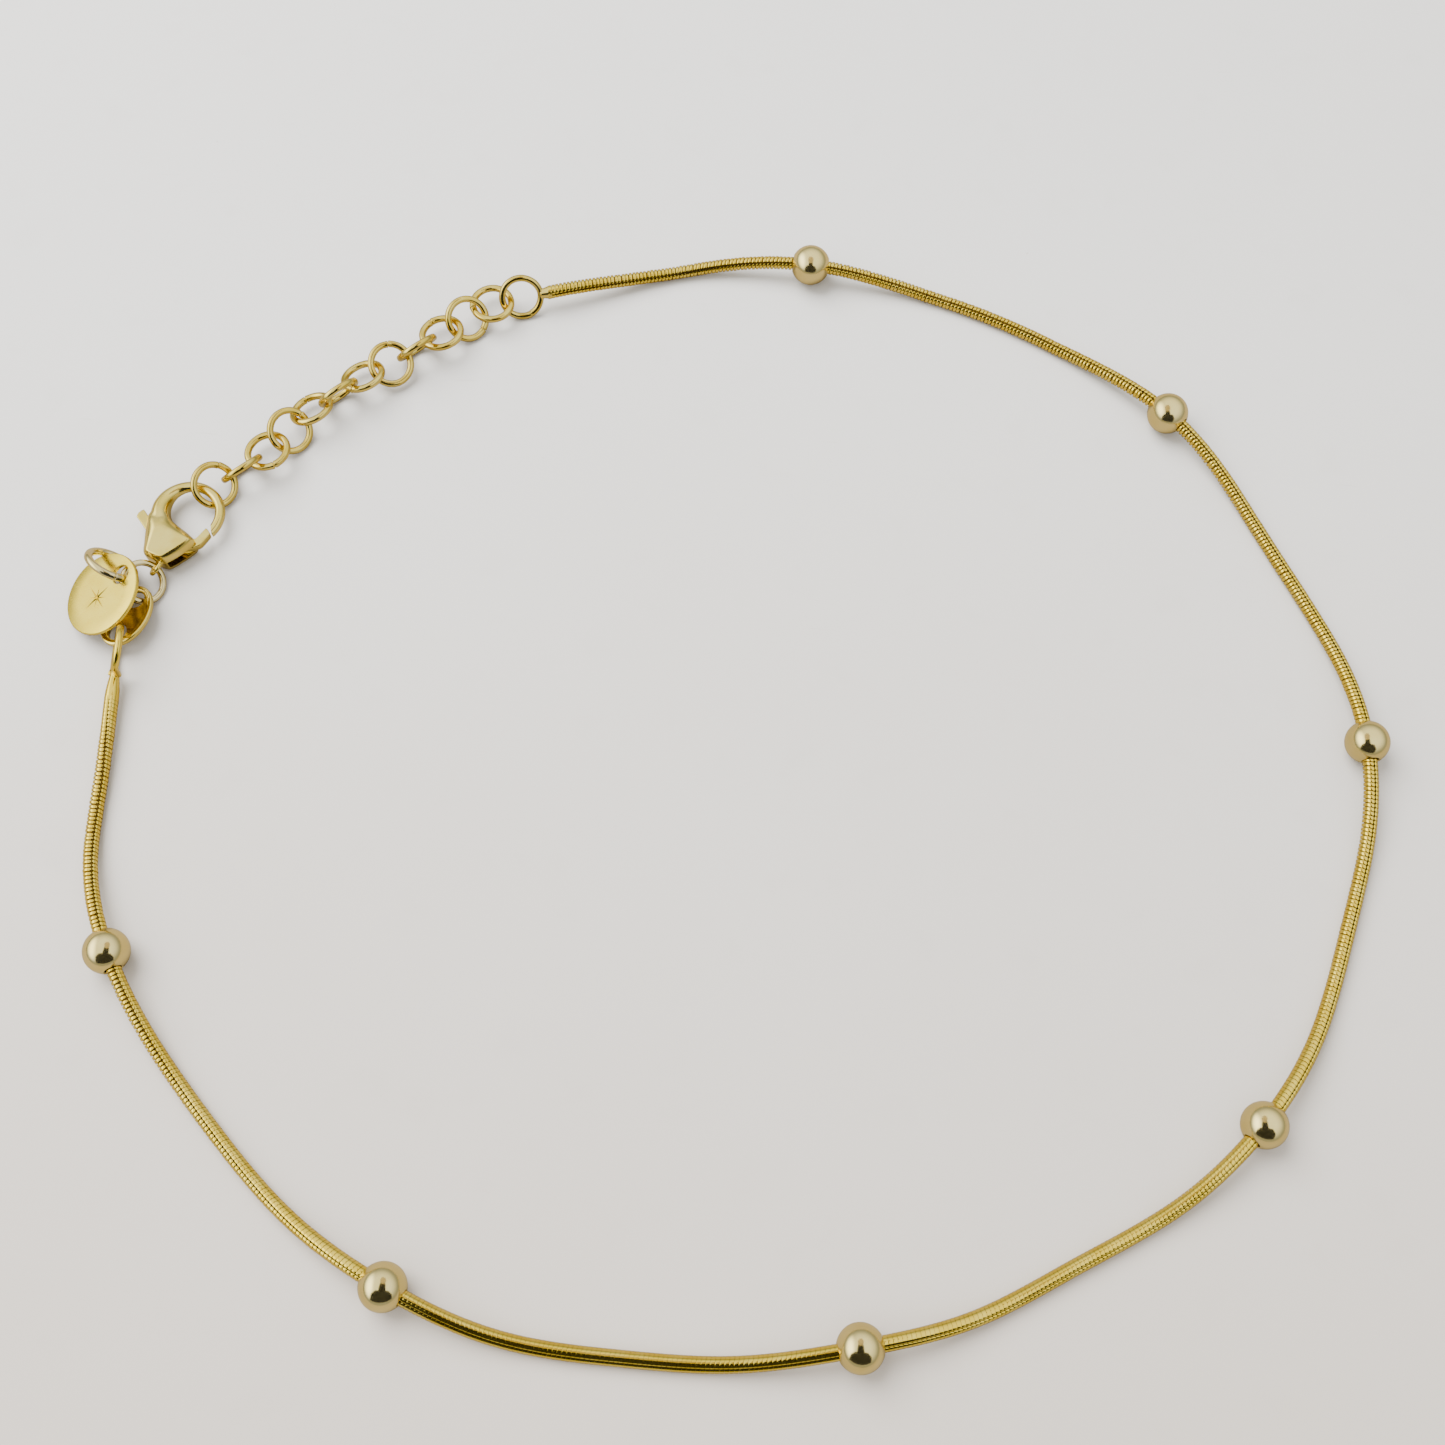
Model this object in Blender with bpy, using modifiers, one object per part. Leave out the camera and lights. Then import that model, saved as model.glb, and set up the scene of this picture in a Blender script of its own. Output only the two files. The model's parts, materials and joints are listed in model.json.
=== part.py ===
# Chain anklet: a snake chain strung with seven beads, closed by a lobster clasp and a round-link extender.
# It lies on a flat surface, the plane Z = 0, and its origin is the middle of its footprint.
# Lengths are in metres and angles in degrees. The clasp's frame has X across it and Y from base to hook.

import math

import bmesh
import bpy
import numpy as np
from mathutils import Matrix, Vector

MM = 0.001

# Snake chain and the beads strung on it
CHAIN_DIAMETER = 1.0 * MM
CHAIN_STEP = 3.0 * MM
CHAIN_RISE = 11.0 * MM
CHAIN_GAP = 0.1 * MM
BEAD_DIAMETER = 3.0 * MM
BORE_CLEARANCE = 0.15 * MM

# Extender of round links
LINK_OUTER = 3.45 * MM
LINK_WIRE = 0.48 * MM
LINK_SLACK = 0.19 * MM
LINK_SAG = 0.2 * MM
LINK_CUP_LENGTH = 0.44 * MM
LINK_CUP_DIAMETER = 0.9 * MM

# Lobster clasp
CLASP_HEADING = -22.5
CLASP_THICKNESS = 2.2 * MM
CLASP_WALL = 1.1 * MM
BODY_WIDTH = 4.3 * MM
BODY_LENGTH = 4.1 * MM
HOOK_OUTER = 5.32 * MM
HOOK_WIRE = 0.74 * MM
HOOK_ROOT_WIRE = 1.16 * MM
HOOK_START = 222
HOOK_END = -16
HOOK_CENTRE = (-0.035, 1.16)
LINK_SEAT_ANGLE = 79.3
LINK_SEAT_SHARE = 0.39
LEVER_THICKNESS = 0.6 * MM
LEVER_CLEARANCE = 0.1 * MM
LEVER_REACH = 2.86 * MM
CLAW_GAP = 0.12 * MM
PIVOT = (-0.07, 0.634)
PIVOT_DIAMETER = 0.6 * MM
LUG_HOLE = 0.84 * MM
LUG_WIRE = 0.28 * MM
LUG_REACH = 0.37 * MM

# Jump rings, connector and tag
CLASP_RING_OUTER = 3.25 * MM
CLASP_RING_WIRE = 0.45 * MM
CLASP_RING_TILT = 38
TAG_RING_OUTER = 3.82 * MM
TAG_RING_WIRE = 0.5 * MM
END_RING_OUTER = 3.7 * MM
END_RING_WIRE = 0.5 * MM
END_CUP_LENGTH = 1.34 * MM
END_CUP_DIAMETER = 1.0 * MM
END_CUP_ROOT_DIAMETER = 0.76 * MM
TAG_DIAMETER = 6.2 * MM
TAG_THICKNESS = 0.3 * MM
TAG_HOLE = 1.4 * MM
TAG_HOLE_MARGIN = 0.48 * MM
TAG_NORMAL = (-0.37, -0.183, 0.911)
TAG_ALONG = (0.388, 0.861, 0.33)
CONNECTOR_LENGTH = 4.9 * MM
CONNECTOR_WIDTH = 3.44 * MM
CONNECTOR_THICKNESS = 0.4 * MM
CONNECTOR_HOLE = 1.34 * MM
CONNECTOR_RIM = 0.32 * MM
CONNECTOR_RECESS = 0.12 * MM
CONNECTOR_HOLE_MARGIN = 0.43 * MM
CONNECTOR_NORMAL = (-0.191, 0.017, 0.981)
CONNECTOR_ALONG = (-0.103, 0.995, -0.036)

# How the fittings hang on each other, in the clasp's frame: the way from one to the next and its play
LUG_SIDE = 0.09 * MM
RING_SIDE = -0.22 * MM
CONNECTOR_PLAY = (0.27 * MM, 0, -0.06 * MM)
END_RING_WAY = (0.568, -0.746, 0.349)
END_CUP_WAY = (0.509, -0.85, -0.14)
END_CUP_ROOT = (0.151, -0.875, -0.46)
END_RING_NORMAL = (0.835, 0.388, -0.39)
TAG_RING_PLAY = (-2.14 * MM, -0.12 * MM, 1.1 * MM)
TAG_RING_NORMAL = (0.208, 0.777, 0.594)
TAG_WAY = (0.933, -0.324, 0.156)
TAG_PLAY = -0.35 * MM

# The chain's route, in millimetres: x, y and whether a bead sits there
ROUTE = [
    (-15.05, 34.15, False),
    (-9.3, 36.05, False),
    (-2.5, 37.85, False),
    (5.1, 37.9, True),
    (12.2, 36.8, False),
    (19.8, 34.25, False),
    (26.8, 30.45, False),
    (32.2, 26.1, True),
    (36.55, 20.8, False),
    (39.85, 14.7, False),
    (43.1, 7.9, False),
    (44.6, 0.45, True),
    (44.2, -6.4, False),
    (42.3, -12.9, False),
    (39.85, -19.4, False),
    (35.45, -25.85, True),
    (30.25, -30.8, False),
    (23.4, -34.85, False),
    (17.2, -38.1, False),
    (10.1, -40.1, True),
    (2.6, -41.35, False),
    (-4.35, -41.3, False),
    (-11.8, -40.5, False),
    (-18.85, -37.9, True),
    (-25.6, -33.9, False),
    (-30.75, -29.15, False),
    (-35.4, -23.95, False),
    (-39.2, -18.2, True),
    (-41.7, -11.7, False),
    (-42.1, -5.7, False),
    (-42.4, 0.1, False),
]

# The extender's links from the chain to the clasp: heading of the step to each link, and its lean
LINKS = [
    (195, -3),
    (220, 43),
    (219, -11),
    (223, -61),
    (218, 30),
    (213, -22),
    (226, -67),
    (217, -25),
    (233, 42),
    (233, -9),
    (227, -58),
    (217, 42),
]
END_HEADING = 195
END_LEAN = 54

# The clasp's body, anticlockwise from the neck: its edge and the flat face above it,
# as shares of the body's width and length
BODY = [
    (-0.588, 0.866, -0.284, 0.622),
    (-0.486, 0.585, -0.267, 0.537),
    (-0.358, 0.324, -0.214, 0.329),
    (-0.228, 0.122, -0.158, 0.171),
    (0.105, 0.122, 0.077, 0.171),
    (0.207, 0.195, 0.14, 0.232),
    (0.34, 0.456, 0.26, 0.476),
    (0.405, 0.707, 0.337, 0.659),
    (0.235, 0.795, 0.209, 0.676),
    (0.03, 0.846, 0.023, 0.676),
    (-0.186, 0.912, -0.179, 0.676),
    (-0.323, 0.998, -0.244, 0.663),
]

# The lever's outline, anticlockwise from the thumb's tip, as shares of the same width and length
LEVER = [
    (-0.772, 0.795),
    (-0.758, 0.715),
    (-0.716, 0.69),
    (-0.449, 0.539),
    (-0.209, 0.427),
    (0.07, 0.415),
    (0.279, 0.488),
    (0.477, 0.707),
    (0.54, 0.985),
    (0.4, 1.04),
    (0.342, 0.78),
    (0.14, 0.727),
    (-0.35, 0.735),
    (-0.5, 0.756),
    (-0.719, 0.888),
]

# The slot that the lever turns in, as shares of the same width and length
SLOT = [
    (-0.88, 0.305),
    (0.74, 0.305),
    (0.74, 0.805),
    (-0.081, 0.951),
    (-0.081, 0.78),
    (-0.442, 0.78),
    (-0.88, 1.04),
]


def clear_scene():
    for item in list(bpy.data.objects):
        bpy.data.objects.remove(item)


def make_collection(name):
    collection = bpy.data.collections.new(name)
    bpy.context.scene.collection.children.link(collection)
    return collection


def gold(name, colour, roughness):
    material = bpy.data.materials.new(name)
    material.use_nodes = True
    shader = material.node_tree.nodes["Principled BSDF"]
    shader.inputs["Base Color"].default_value = (*colour, 1.0)
    shader.inputs["Metallic"].default_value = 1.0
    shader.inputs["Roughness"].default_value = roughness
    return material


def adopt(item, name, collection, parent, material=None):
    # names a new object and moves it into its collection, under its parent
    item.name = name
    for owner in list(item.users_collection):
        owner.objects.unlink(item)
    collection.objects.link(item)
    item.parent = parent
    if material:
        item.data.materials.clear()
        item.data.materials.append(material)
    return item


def smooth(item, angle=40):
    item.data.shade_smooth()
    item.data.set_sharp_from_angle(angle=math.radians(angle))


def facing(normal):
    return Vector(normal).to_track_quat("Z", "Y").to_euler()


def torus(outer, wire, sides, wire_sides):
    bpy.ops.mesh.primitive_torus_add(
        major_radius=(outer - wire) / 2,
        minor_radius=wire / 2,
        major_segments=sides,
        minor_segments=wire_sides,
    )
    return bpy.context.object


def rod(start, end, start_radius, end_radius, sides):
    # a round bar or cone between two points
    bpy.ops.mesh.primitive_cone_add(
        vertices=sides,
        radius1=start_radius,
        radius2=end_radius,
        depth=(end - start).length,
    )
    item = bpy.context.object
    item.location = (start + end) / 2
    item.rotation_euler = facing(end - start)
    return item


def as_mesh(curve_item):
    # the curve's solid as a mesh object in the same place, with its caps welded
    bpy.context.view_layer.update()
    evaluated = curve_item.evaluated_get(bpy.context.evaluated_depsgraph_get())
    mesh = bpy.data.meshes.new_from_object(evaluated)
    welded = bmesh.new()
    welded.from_mesh(mesh)
    bmesh.ops.remove_doubles(welded, verts=welded.verts, dist=1e-6)
    welded.to_mesh(mesh)
    welded.free()
    item = bpy.data.objects.new("solid", mesh)
    bpy.context.scene.collection.objects.link(item)
    item.matrix_world = curve_item.matrix_world
    bpy.data.objects.remove(curve_item)
    return item


def flat_outline(points, thickness):
    # a plate of the outline's shape, centred on the plane Z = 0
    curve = bpy.data.curves.new("outline", "CURVE")
    curve.dimensions = "2D"
    curve.fill_mode = "BOTH"
    curve.extrude = thickness / 2
    spline = curve.splines.new("POLY")
    spline.points.add(len(points) - 1)
    for point, (x, y) in zip(spline.points, points):
        point.co = (x, y, 0, 1)
    spline.use_cyclic_u = True
    item = bpy.data.objects.new("outline", curve)
    bpy.context.scene.collection.objects.link(item)
    return as_mesh(item)


def boolean(item, tool, operation):
    modifier = item.modifiers.new(tool.name, "BOOLEAN")
    modifier.operation = operation
    modifier.object = tool


def as_cutter(item, name, cutters, parent):
    adopt(item, name, cutters, parent)
    item.hide_render = True
    item.display_type = "WIRE"
    return item


def clasp_matrix(origin):
    return Matrix.Translation(origin) @ Matrix.Rotation(math.radians(CLASP_HEADING), 4, "Z")


def link_places():
    # centre and normal of the chain's end ring and of each link, out from the chain's first point
    mean = (LINK_OUTER - LINK_WIRE) / 2
    pitch = LINK_OUTER - 2 * LINK_WIRE - LINK_SLACK
    steps = [(END_HEADING, END_LEAN)] + LINKS
    onwards = [heading for heading, _ in LINKS] + [270 + CLASP_HEADING]
    own = [LINK_WIRE / 2 + mean * abs(math.sin(math.radians(lean))) for _, lean in steps]
    centre = Vector((ROUTE[0][0] * MM, ROUTE[0][1] * MM, 0))
    reach = CHAIN_GAP + LINK_CUP_LENGTH + mean
    places = []
    for index, (heading, lean) in enumerate(steps):
        along = math.radians(heading)
        centre = centre + reach * Vector((math.cos(along), math.sin(along), 0))
        reach = pitch
        middle = math.radians((heading + onwards[index]) / 2)
        side = Vector((math.sin(middle), -math.cos(middle), 0))
        if side.y > 0:
            side.negate()
        tilt = math.radians(lean)
        normal = Vector((0, 0, math.cos(tilt))) + math.sin(tilt) * side
        neighbours = own[max(index - 1, 0):index + 2]
        height = max(own[index], max(neighbours) - LINK_SAG)
        places.append((Vector((centre.x, centre.y, height)), normal))
    return places


def tag_hole_offset():
    return (TAG_DIAMETER - TAG_HOLE) / 2 - TAG_HOLE_MARGIN


def connector_hole_offset():
    return (CONNECTOR_LENGTH - CONNECTOR_HOLE) / 2 - CONNECTOR_HOLE_MARGIN


def clasp_layout():
    # places of the clasp's fittings, the jump rings, the connector and the tag in the clasp's frame
    middle = CLASP_THICKNESS / 2
    ring_mean = (CLASP_RING_OUTER - CLASP_RING_WIRE) / 2
    tag_ring_mean = (TAG_RING_OUTER - TAG_RING_WIRE) / 2
    end_ring_mean = (END_RING_OUTER - END_RING_WIRE) / 2
    base = BODY[3][1] * BODY_LENGTH

    lug = Vector((LUG_SIDE, base - LUG_REACH, middle))
    ring = lug + Vector((RING_SIDE, -ring_mean, 0))

    hole = ring + Vector((0, -ring_mean, 0)) + Vector(CONNECTOR_PLAY)
    along = Vector(CONNECTOR_ALONG).normalized()
    connector = hole - connector_hole_offset() * along
    far_hole = hole - 2 * connector_hole_offset() * along

    play = (CONNECTOR_HOLE - END_RING_WIRE) / 4
    end_ring = far_hole + (end_ring_mean + play) * Vector(END_RING_WAY).normalized()
    cup_ring = end_ring + end_ring_mean * Vector(END_CUP_ROOT).normalized()
    cup_end = cup_ring + END_CUP_LENGTH * Vector(END_CUP_WAY).normalized()

    tag_ring = ring + Vector(TAG_RING_PLAY)
    tag_hole = tag_ring + (tag_ring_mean + TAG_PLAY) * Vector(TAG_WAY).normalized()
    tag = tag_hole - tag_hole_offset() * Vector(TAG_ALONG).normalized()
    return {
        "lug": lug,
        "ring": ring,
        "connector": connector,
        "end_ring": end_ring,
        "cup_ring": cup_ring,
        "cup_end": cup_end,
        "tag_ring": tag_ring,
        "tag": tag,
    }


def clasp_origin(last_link):
    # the hook hangs on the last link, off the clasp's own middle line
    seat = math.radians(LINK_SEAT_ANGLE)
    hook_mean = (HOOK_OUTER - HOOK_WIRE) / 2
    reach = hook_mean + LINK_SEAT_SHARE * (LINK_OUTER - LINK_WIRE) / 2
    x = HOOK_CENTRE[0] * BODY_WIDTH + reach * math.cos(seat)
    y = HOOK_CENTRE[1] * BODY_LENGTH + reach * math.sin(seat)
    turned = clasp_matrix(Vector((0, 0, 0))) @ Vector((x, y, 0))
    return Vector((last_link.x - turned.x, last_link.y - turned.y, 0))


def spline_through(stations, values):
    # natural cubic spline: returns a function of the station
    count = len(stations)
    steps = np.diff(stations)
    system = np.eye(count)
    bends = np.zeros(count)
    for i in range(1, count - 1):
        system[i, i - 1] = steps[i - 1]
        system[i, i] = 2 * (steps[i - 1] + steps[i])
        system[i, i + 1] = steps[i]
        left = (values[i] - values[i - 1]) / steps[i - 1]
        right = (values[i + 1] - values[i]) / steps[i]
        bends[i] = 6 * (right - left)
    second = np.linalg.solve(system, bends)

    def value(station):
        i = int(np.clip(np.searchsorted(stations, station) - 1, 0, count - 2))
        a = (stations[i + 1] - station) / steps[i]
        b = 1 - a
        bend = ((a**3 - a) * second[i] + (b**3 - b) * second[i + 1]) * steps[i] ** 2 / 6
        return a * values[i] + b * values[i + 1] + bend

    return value


def chain_route(start_height, end):
    # points of the chain's tube, and the centre and heading of each bead
    last = Vector((ROUTE[-1][0] * MM, ROUTE[-1][1] * MM))
    lean = Vector((end.x, end.y)) - last
    count = len(ROUTE)
    xs = [x * MM + lean.x * i / (count - 1) for i, (x, _, _) in enumerate(ROUTE)]
    ys = [y * MM + lean.y * i / (count - 1) for i, (_, y, _) in enumerate(ROUTE)]
    chords = np.hypot(np.diff(xs), np.diff(ys))
    stations = np.concatenate([[0], np.cumsum(chords)])
    x_at = spline_through(stations, np.array(xs))
    y_at = spline_through(stations, np.array(ys))
    held = [stations[i] for i in range(count) if ROUTE[i][2]]

    ground = CHAIN_DIAMETER / 2
    lifts = [(stations[0], start_height)] + [(s, BEAD_DIAMETER / 2) for s in held] + [(stations[-1], end.z)]

    def point(station):
        height = ground
        for place, top in lifts:
            t = min(abs(station - place) / CHAIN_RISE, 1)
            height += (top - ground) * (1 - t) ** 2 * (1 + 2 * t)
        return Vector((x_at(station), y_at(station), height))

    marks = [stations[0]] + held + [stations[-1]]
    points = [point(marks[0])]
    for near, far in zip(marks, marks[1:]):
        parts = math.ceil((far - near) / CHAIN_STEP)
        points += [point(near + (far - near) * k / parts) for k in range(1, parts + 1)]
    beads = []
    for station in held:
        ahead = point(station + MM) - point(station - MM)
        beads.append((point(station), math.atan2(ahead.y, ahead.x)))
    return points, beads


def make_chain(points, collection, parent, material):
    curve = bpy.data.curves.new("snake_chain", "CURVE")
    curve.dimensions = "3D"
    curve.bevel_depth = CHAIN_DIAMETER / 2
    curve.bevel_resolution = 2
    curve.use_fill_caps = True
    spline = curve.splines.new("POLY")
    spline.points.add(len(points) - 1)
    for point, place in zip(spline.points, points):
        point.co = (*place, 1)
    item = bpy.data.objects.new("snake_chain", curve)
    return adopt(item, "snake_chain", collection, parent, material)


def bead_mesh():
    # a drilled ball: its profile runs down the outside and back up the bore
    radius = BEAD_DIAMETER / 2
    bore = CHAIN_DIAMETER / 2 + BORE_CLEARANCE
    mouth = math.asin(math.sqrt(radius**2 - bore**2) / radius)
    rows = 8
    angles = [mouth - 2 * mouth * k / rows for k in range(rows + 1)]
    profile = bmesh.new()
    verts = [profile.verts.new((radius * math.cos(a), 0, radius * math.sin(a))) for a in angles]
    for one, two in zip(verts, verts[1:] + verts[:1]):
        profile.edges.new((one, two))
    mesh = bpy.data.meshes.new("bead")
    profile.to_mesh(mesh)
    profile.free()
    return mesh


def make_beads(places, collection, parent, material):
    mesh = bead_mesh()
    for index, (centre, heading) in enumerate(places, 1):
        item = bpy.data.objects.new("bead", mesh)
        adopt(item, f"bead_{index}", collection, parent, material)
        item.location = centre
        item.rotation_euler = (0, math.radians(90), heading)
        screw = item.modifiers.new("turned", "SCREW")
        screw.steps = 16
        screw.render_steps = 16
        screw.use_merge_vertices = True
        screw.merge_threshold = 1e-6


def make_links(places, collection, cutters, parent, material):
    ring_centre, ring_normal = places[0]
    end_ring = torus(LINK_OUTER, LINK_WIRE, 14, 6)
    adopt(end_ring, "extender_end_ring", collection, parent, material)
    end_ring.location = ring_centre
    end_ring.rotation_euler = facing(ring_normal)
    smooth(end_ring)
    along = math.radians(END_HEADING)
    inward = -Vector((math.cos(along), math.sin(along), 0))
    mean = (LINK_OUTER - LINK_WIRE) / 2
    near = ring_centre + mean * inward
    radius = LINK_CUP_DIAMETER / 2
    cup = rod(near, near + LINK_CUP_LENGTH * inward, LINK_WIRE / 2, radius, 12)
    as_cutter(cup, "extender_cup", cutters, parent)
    boolean(end_ring, cup, "UNION")
    for index, (centre, normal) in enumerate(places[1:], 1):
        link = torus(LINK_OUTER, LINK_WIRE, 14, 6)
        adopt(link, f"extender_link_{index:02d}", collection, parent, material)
        link.location = centre
        link.rotation_euler = facing(normal)
        smooth(link)


def loft_body():
    # two flat faces, joined by slopes to an upright wall round the edge
    middle = CLASP_THICKNESS / 2
    levels = [
        (-CLASP_THICKNESS / 2, True),
        (-CLASP_WALL / 2, False),
        (CLASP_WALL / 2, False),
        (CLASP_THICKNESS / 2, True),
    ]
    solid = bmesh.new()
    rings = []
    for height, on_face in levels:
        ring = []
        for edge_x, edge_y, face_x, face_y in BODY:
            x = face_x if on_face else edge_x
            y = face_y if on_face else edge_y
            ring.append(solid.verts.new((x * BODY_WIDTH, y * BODY_LENGTH, middle + height)))
        rings.append(ring)
    count = len(BODY)
    for lower, upper in zip(rings, rings[1:]):
        for i in range(count):
            j = (i + 1) % count
            solid.faces.new((lower[i], lower[j], upper[j], upper[i]))
    solid.faces.new(list(reversed(rings[0])))
    solid.faces.new(rings[-1])
    mesh = bpy.data.meshes.new("clasp_body")
    solid.to_mesh(mesh)
    solid.free()
    item = bpy.data.objects.new("clasp_body", mesh)
    bpy.context.scene.collection.objects.link(item)
    return item


def make_hook():
    # a wire that thickens towards its root, bent on a constant outer radius
    centre_x = HOOK_CENTRE[0] * BODY_WIDTH
    centre_y = HOOK_CENTRE[1] * BODY_LENGTH
    curve = bpy.data.curves.new("hook", "CURVE")
    curve.dimensions = "3D"
    curve.bevel_depth = HOOK_WIRE / 2
    curve.bevel_resolution = 3
    curve.use_fill_caps = True
    spline = curve.splines.new("POLY")
    count = 20
    spline.points.add(count - 1)
    for k, point in enumerate(spline.points):
        share = k / (count - 1)
        angle = math.radians(HOOK_START + (HOOK_END - HOOK_START) * share)
        taper = max(1 - share / 0.45, 0)
        ease = taper * taper * (3 - 2 * taper)
        wire = HOOK_WIRE + (HOOK_ROOT_WIRE - HOOK_WIRE) * ease
        radius = (HOOK_OUTER - wire) / 2
        x = centre_x + radius * math.cos(angle)
        y = centre_y + radius * math.sin(angle)
        point.co = (x, y, CLASP_THICKNESS / 2, 1)
        point.radius = wire / HOOK_WIRE
    item = bpy.data.objects.new("hook", curve)
    bpy.context.scene.collection.objects.link(item)
    return as_mesh(item)


def pivot_place():
    return Vector((PIVOT[0] * BODY_WIDTH, PIVOT[1] * BODY_LENGTH, CLASP_THICKNESS / 2))


def make_clasp(layout, collection, cutters, parent, material):
    pivot = pivot_place()
    body = adopt(loft_body(), "clasp_body", collection, parent, material)

    hook = as_cutter(make_hook(), "hook_wire", cutters, parent)
    sweep = [(0, 0)]
    for angle in range(5, 66, 5):
        reach = LEVER_REACH + CLAW_GAP
        sweep.append((reach * math.cos(math.radians(angle)), reach * math.sin(math.radians(angle))))
    swing = as_cutter(flat_outline(sweep, CLASP_THICKNESS), "gate_swing", cutters, parent)
    swing.location = pivot
    boolean(hook, swing, "DIFFERENCE")

    tilt = math.radians(CLASP_RING_TILT)
    lug = as_cutter(torus(LUG_HOLE + 2 * LUG_WIRE, LUG_WIRE, 14, 8), "lug", cutters, parent)
    lug.location = layout["lug"]
    lug.rotation_euler = facing((math.cos(tilt), 0, -math.sin(tilt)))

    slot_points = [(x * BODY_WIDTH, y * BODY_LENGTH) for x, y in SLOT]
    slot = as_cutter(
        flat_outline(slot_points, LEVER_THICKNESS + 2 * LEVER_CLEARANCE), "lever_slot", cutters, parent
    )
    slot.location = (0, 0, CLASP_THICKNESS / 2)

    half_pin = Vector((0, 0, CLASP_THICKNESS / 2 - CLASP_WALL / 4))
    pin = rod(pivot - half_pin, pivot + half_pin, PIVOT_DIAMETER / 2, PIVOT_DIAMETER / 2, 14)
    as_cutter(pin, "pivot_pin", cutters, parent)

    boolean(body, hook, "UNION")
    boolean(body, lug, "UNION")
    boolean(body, slot, "DIFFERENCE")
    boolean(body, pin, "UNION")


def make_lever(collection, cutters, parent, material):
    pivot = pivot_place()
    points = []
    for x, y in LEVER:
        place = Vector((x * BODY_WIDTH - pivot.x, y * BODY_LENGTH - pivot.y))
        if place.x > 0 and place.length > LEVER_REACH:
            place = place.normalized() * LEVER_REACH
        points.append((place.x, place.y))
    lever = adopt(flat_outline(points, LEVER_THICKNESS), "clasp_lever", collection, parent, material)
    lever.location = pivot
    half = Vector((0, 0, LEVER_THICKNESS))
    radius = PIVOT_DIAMETER / 2 + LEVER_CLEARANCE
    bore = as_cutter(rod(pivot - half, pivot + half, radius, radius, 14), "lever_bore", cutters, parent)
    boolean(lever, bore, "DIFFERENCE")


def make_rings(layout, collection, cutters, parent, pale, yellow):
    tilt = math.radians(CLASP_RING_TILT)
    ring = torus(CLASP_RING_OUTER, CLASP_RING_WIRE, 16, 6)
    adopt(ring, "clasp_jump_ring", collection, parent, pale)
    ring.location = layout["ring"]
    ring.rotation_euler = facing((math.sin(tilt), 0, math.cos(tilt)))
    smooth(ring)

    tag_ring = torus(TAG_RING_OUTER, TAG_RING_WIRE, 16, 6)
    adopt(tag_ring, "tag_jump_ring", collection, parent, pale)
    tag_ring.location = layout["tag_ring"]
    tag_ring.rotation_euler = facing(TAG_RING_NORMAL)
    smooth(tag_ring)

    end_ring = torus(END_RING_OUTER, END_RING_WIRE, 16, 6)
    adopt(end_ring, "chain_end_ring", collection, parent, yellow)
    end_ring.location = layout["end_ring"]
    end_ring.rotation_euler = facing(END_RING_NORMAL)
    smooth(end_ring)
    cup = rod(
        layout["cup_end"], layout["cup_ring"], END_CUP_DIAMETER / 2, END_CUP_ROOT_DIAMETER / 2, 12
    )
    as_cutter(cup, "chain_end_cup", cutters, parent)
    boolean(end_ring, cup, "UNION")


def make_disc(length, width, thickness, sides):
    bpy.ops.mesh.primitive_cylinder_add(vertices=sides, radius=0.5, depth=thickness)
    item = bpy.context.object
    for vert in item.data.vertices:
        vert.co.x *= length
        vert.co.y *= width
    return item


def place_flat(item, centre, normal, along):
    # Z of the item on the normal and X of the item on the way given
    z = Vector(normal).normalized()
    x = (Vector(along) - Vector(along).dot(z) * z).normalized()
    y = z.cross(x)
    item.rotation_euler = Matrix((x, y, z)).transposed().to_euler()
    item.location = centre


def make_tag(layout, collection, cutters, parent, material):
    tag = make_disc(TAG_DIAMETER, TAG_DIAMETER, TAG_THICKNESS, 36)
    adopt(tag, "round_tag", collection, parent, material)
    place_flat(tag, layout["tag"], TAG_NORMAL, TAG_ALONG)
    hole = make_disc(TAG_HOLE, TAG_HOLE, 4 * TAG_THICKNESS, 16)
    as_cutter(hole, "tag_hole", cutters, tag)
    hole.location = (tag_hole_offset(), 0, 0)
    boolean(tag, hole, "DIFFERENCE")


def make_connector(layout, collection, cutters, parent, material):
    plate = make_disc(CONNECTOR_LENGTH, CONNECTOR_WIDTH, CONNECTOR_THICKNESS, 32)
    adopt(plate, "oval_connector", collection, parent, material)
    place_flat(plate, layout["connector"], CONNECTOR_NORMAL, CONNECTOR_ALONG)
    recess_length = CONNECTOR_LENGTH - 2 * CONNECTOR_RIM
    recess_width = CONNECTOR_WIDTH - 2 * CONNECTOR_RIM
    recess = make_disc(recess_length, recess_width, 2 * CONNECTOR_RECESS, 32)
    as_cutter(recess, "connector_recess", cutters, plate)
    recess.location = (0, 0, CONNECTOR_THICKNESS / 2)
    boolean(plate, recess, "DIFFERENCE")
    for side, name in ((1, "ring_hole"), (-1, "chain_hole")):
        hole = make_disc(CONNECTOR_HOLE, CONNECTOR_HOLE, 4 * CONNECTOR_THICKNESS, 16)
        as_cutter(hole, name, cutters, plate)
        hole.location = (side * connector_hole_offset(), 0, 0)
        boolean(plate, hole, "DIFFERENCE")


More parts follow.
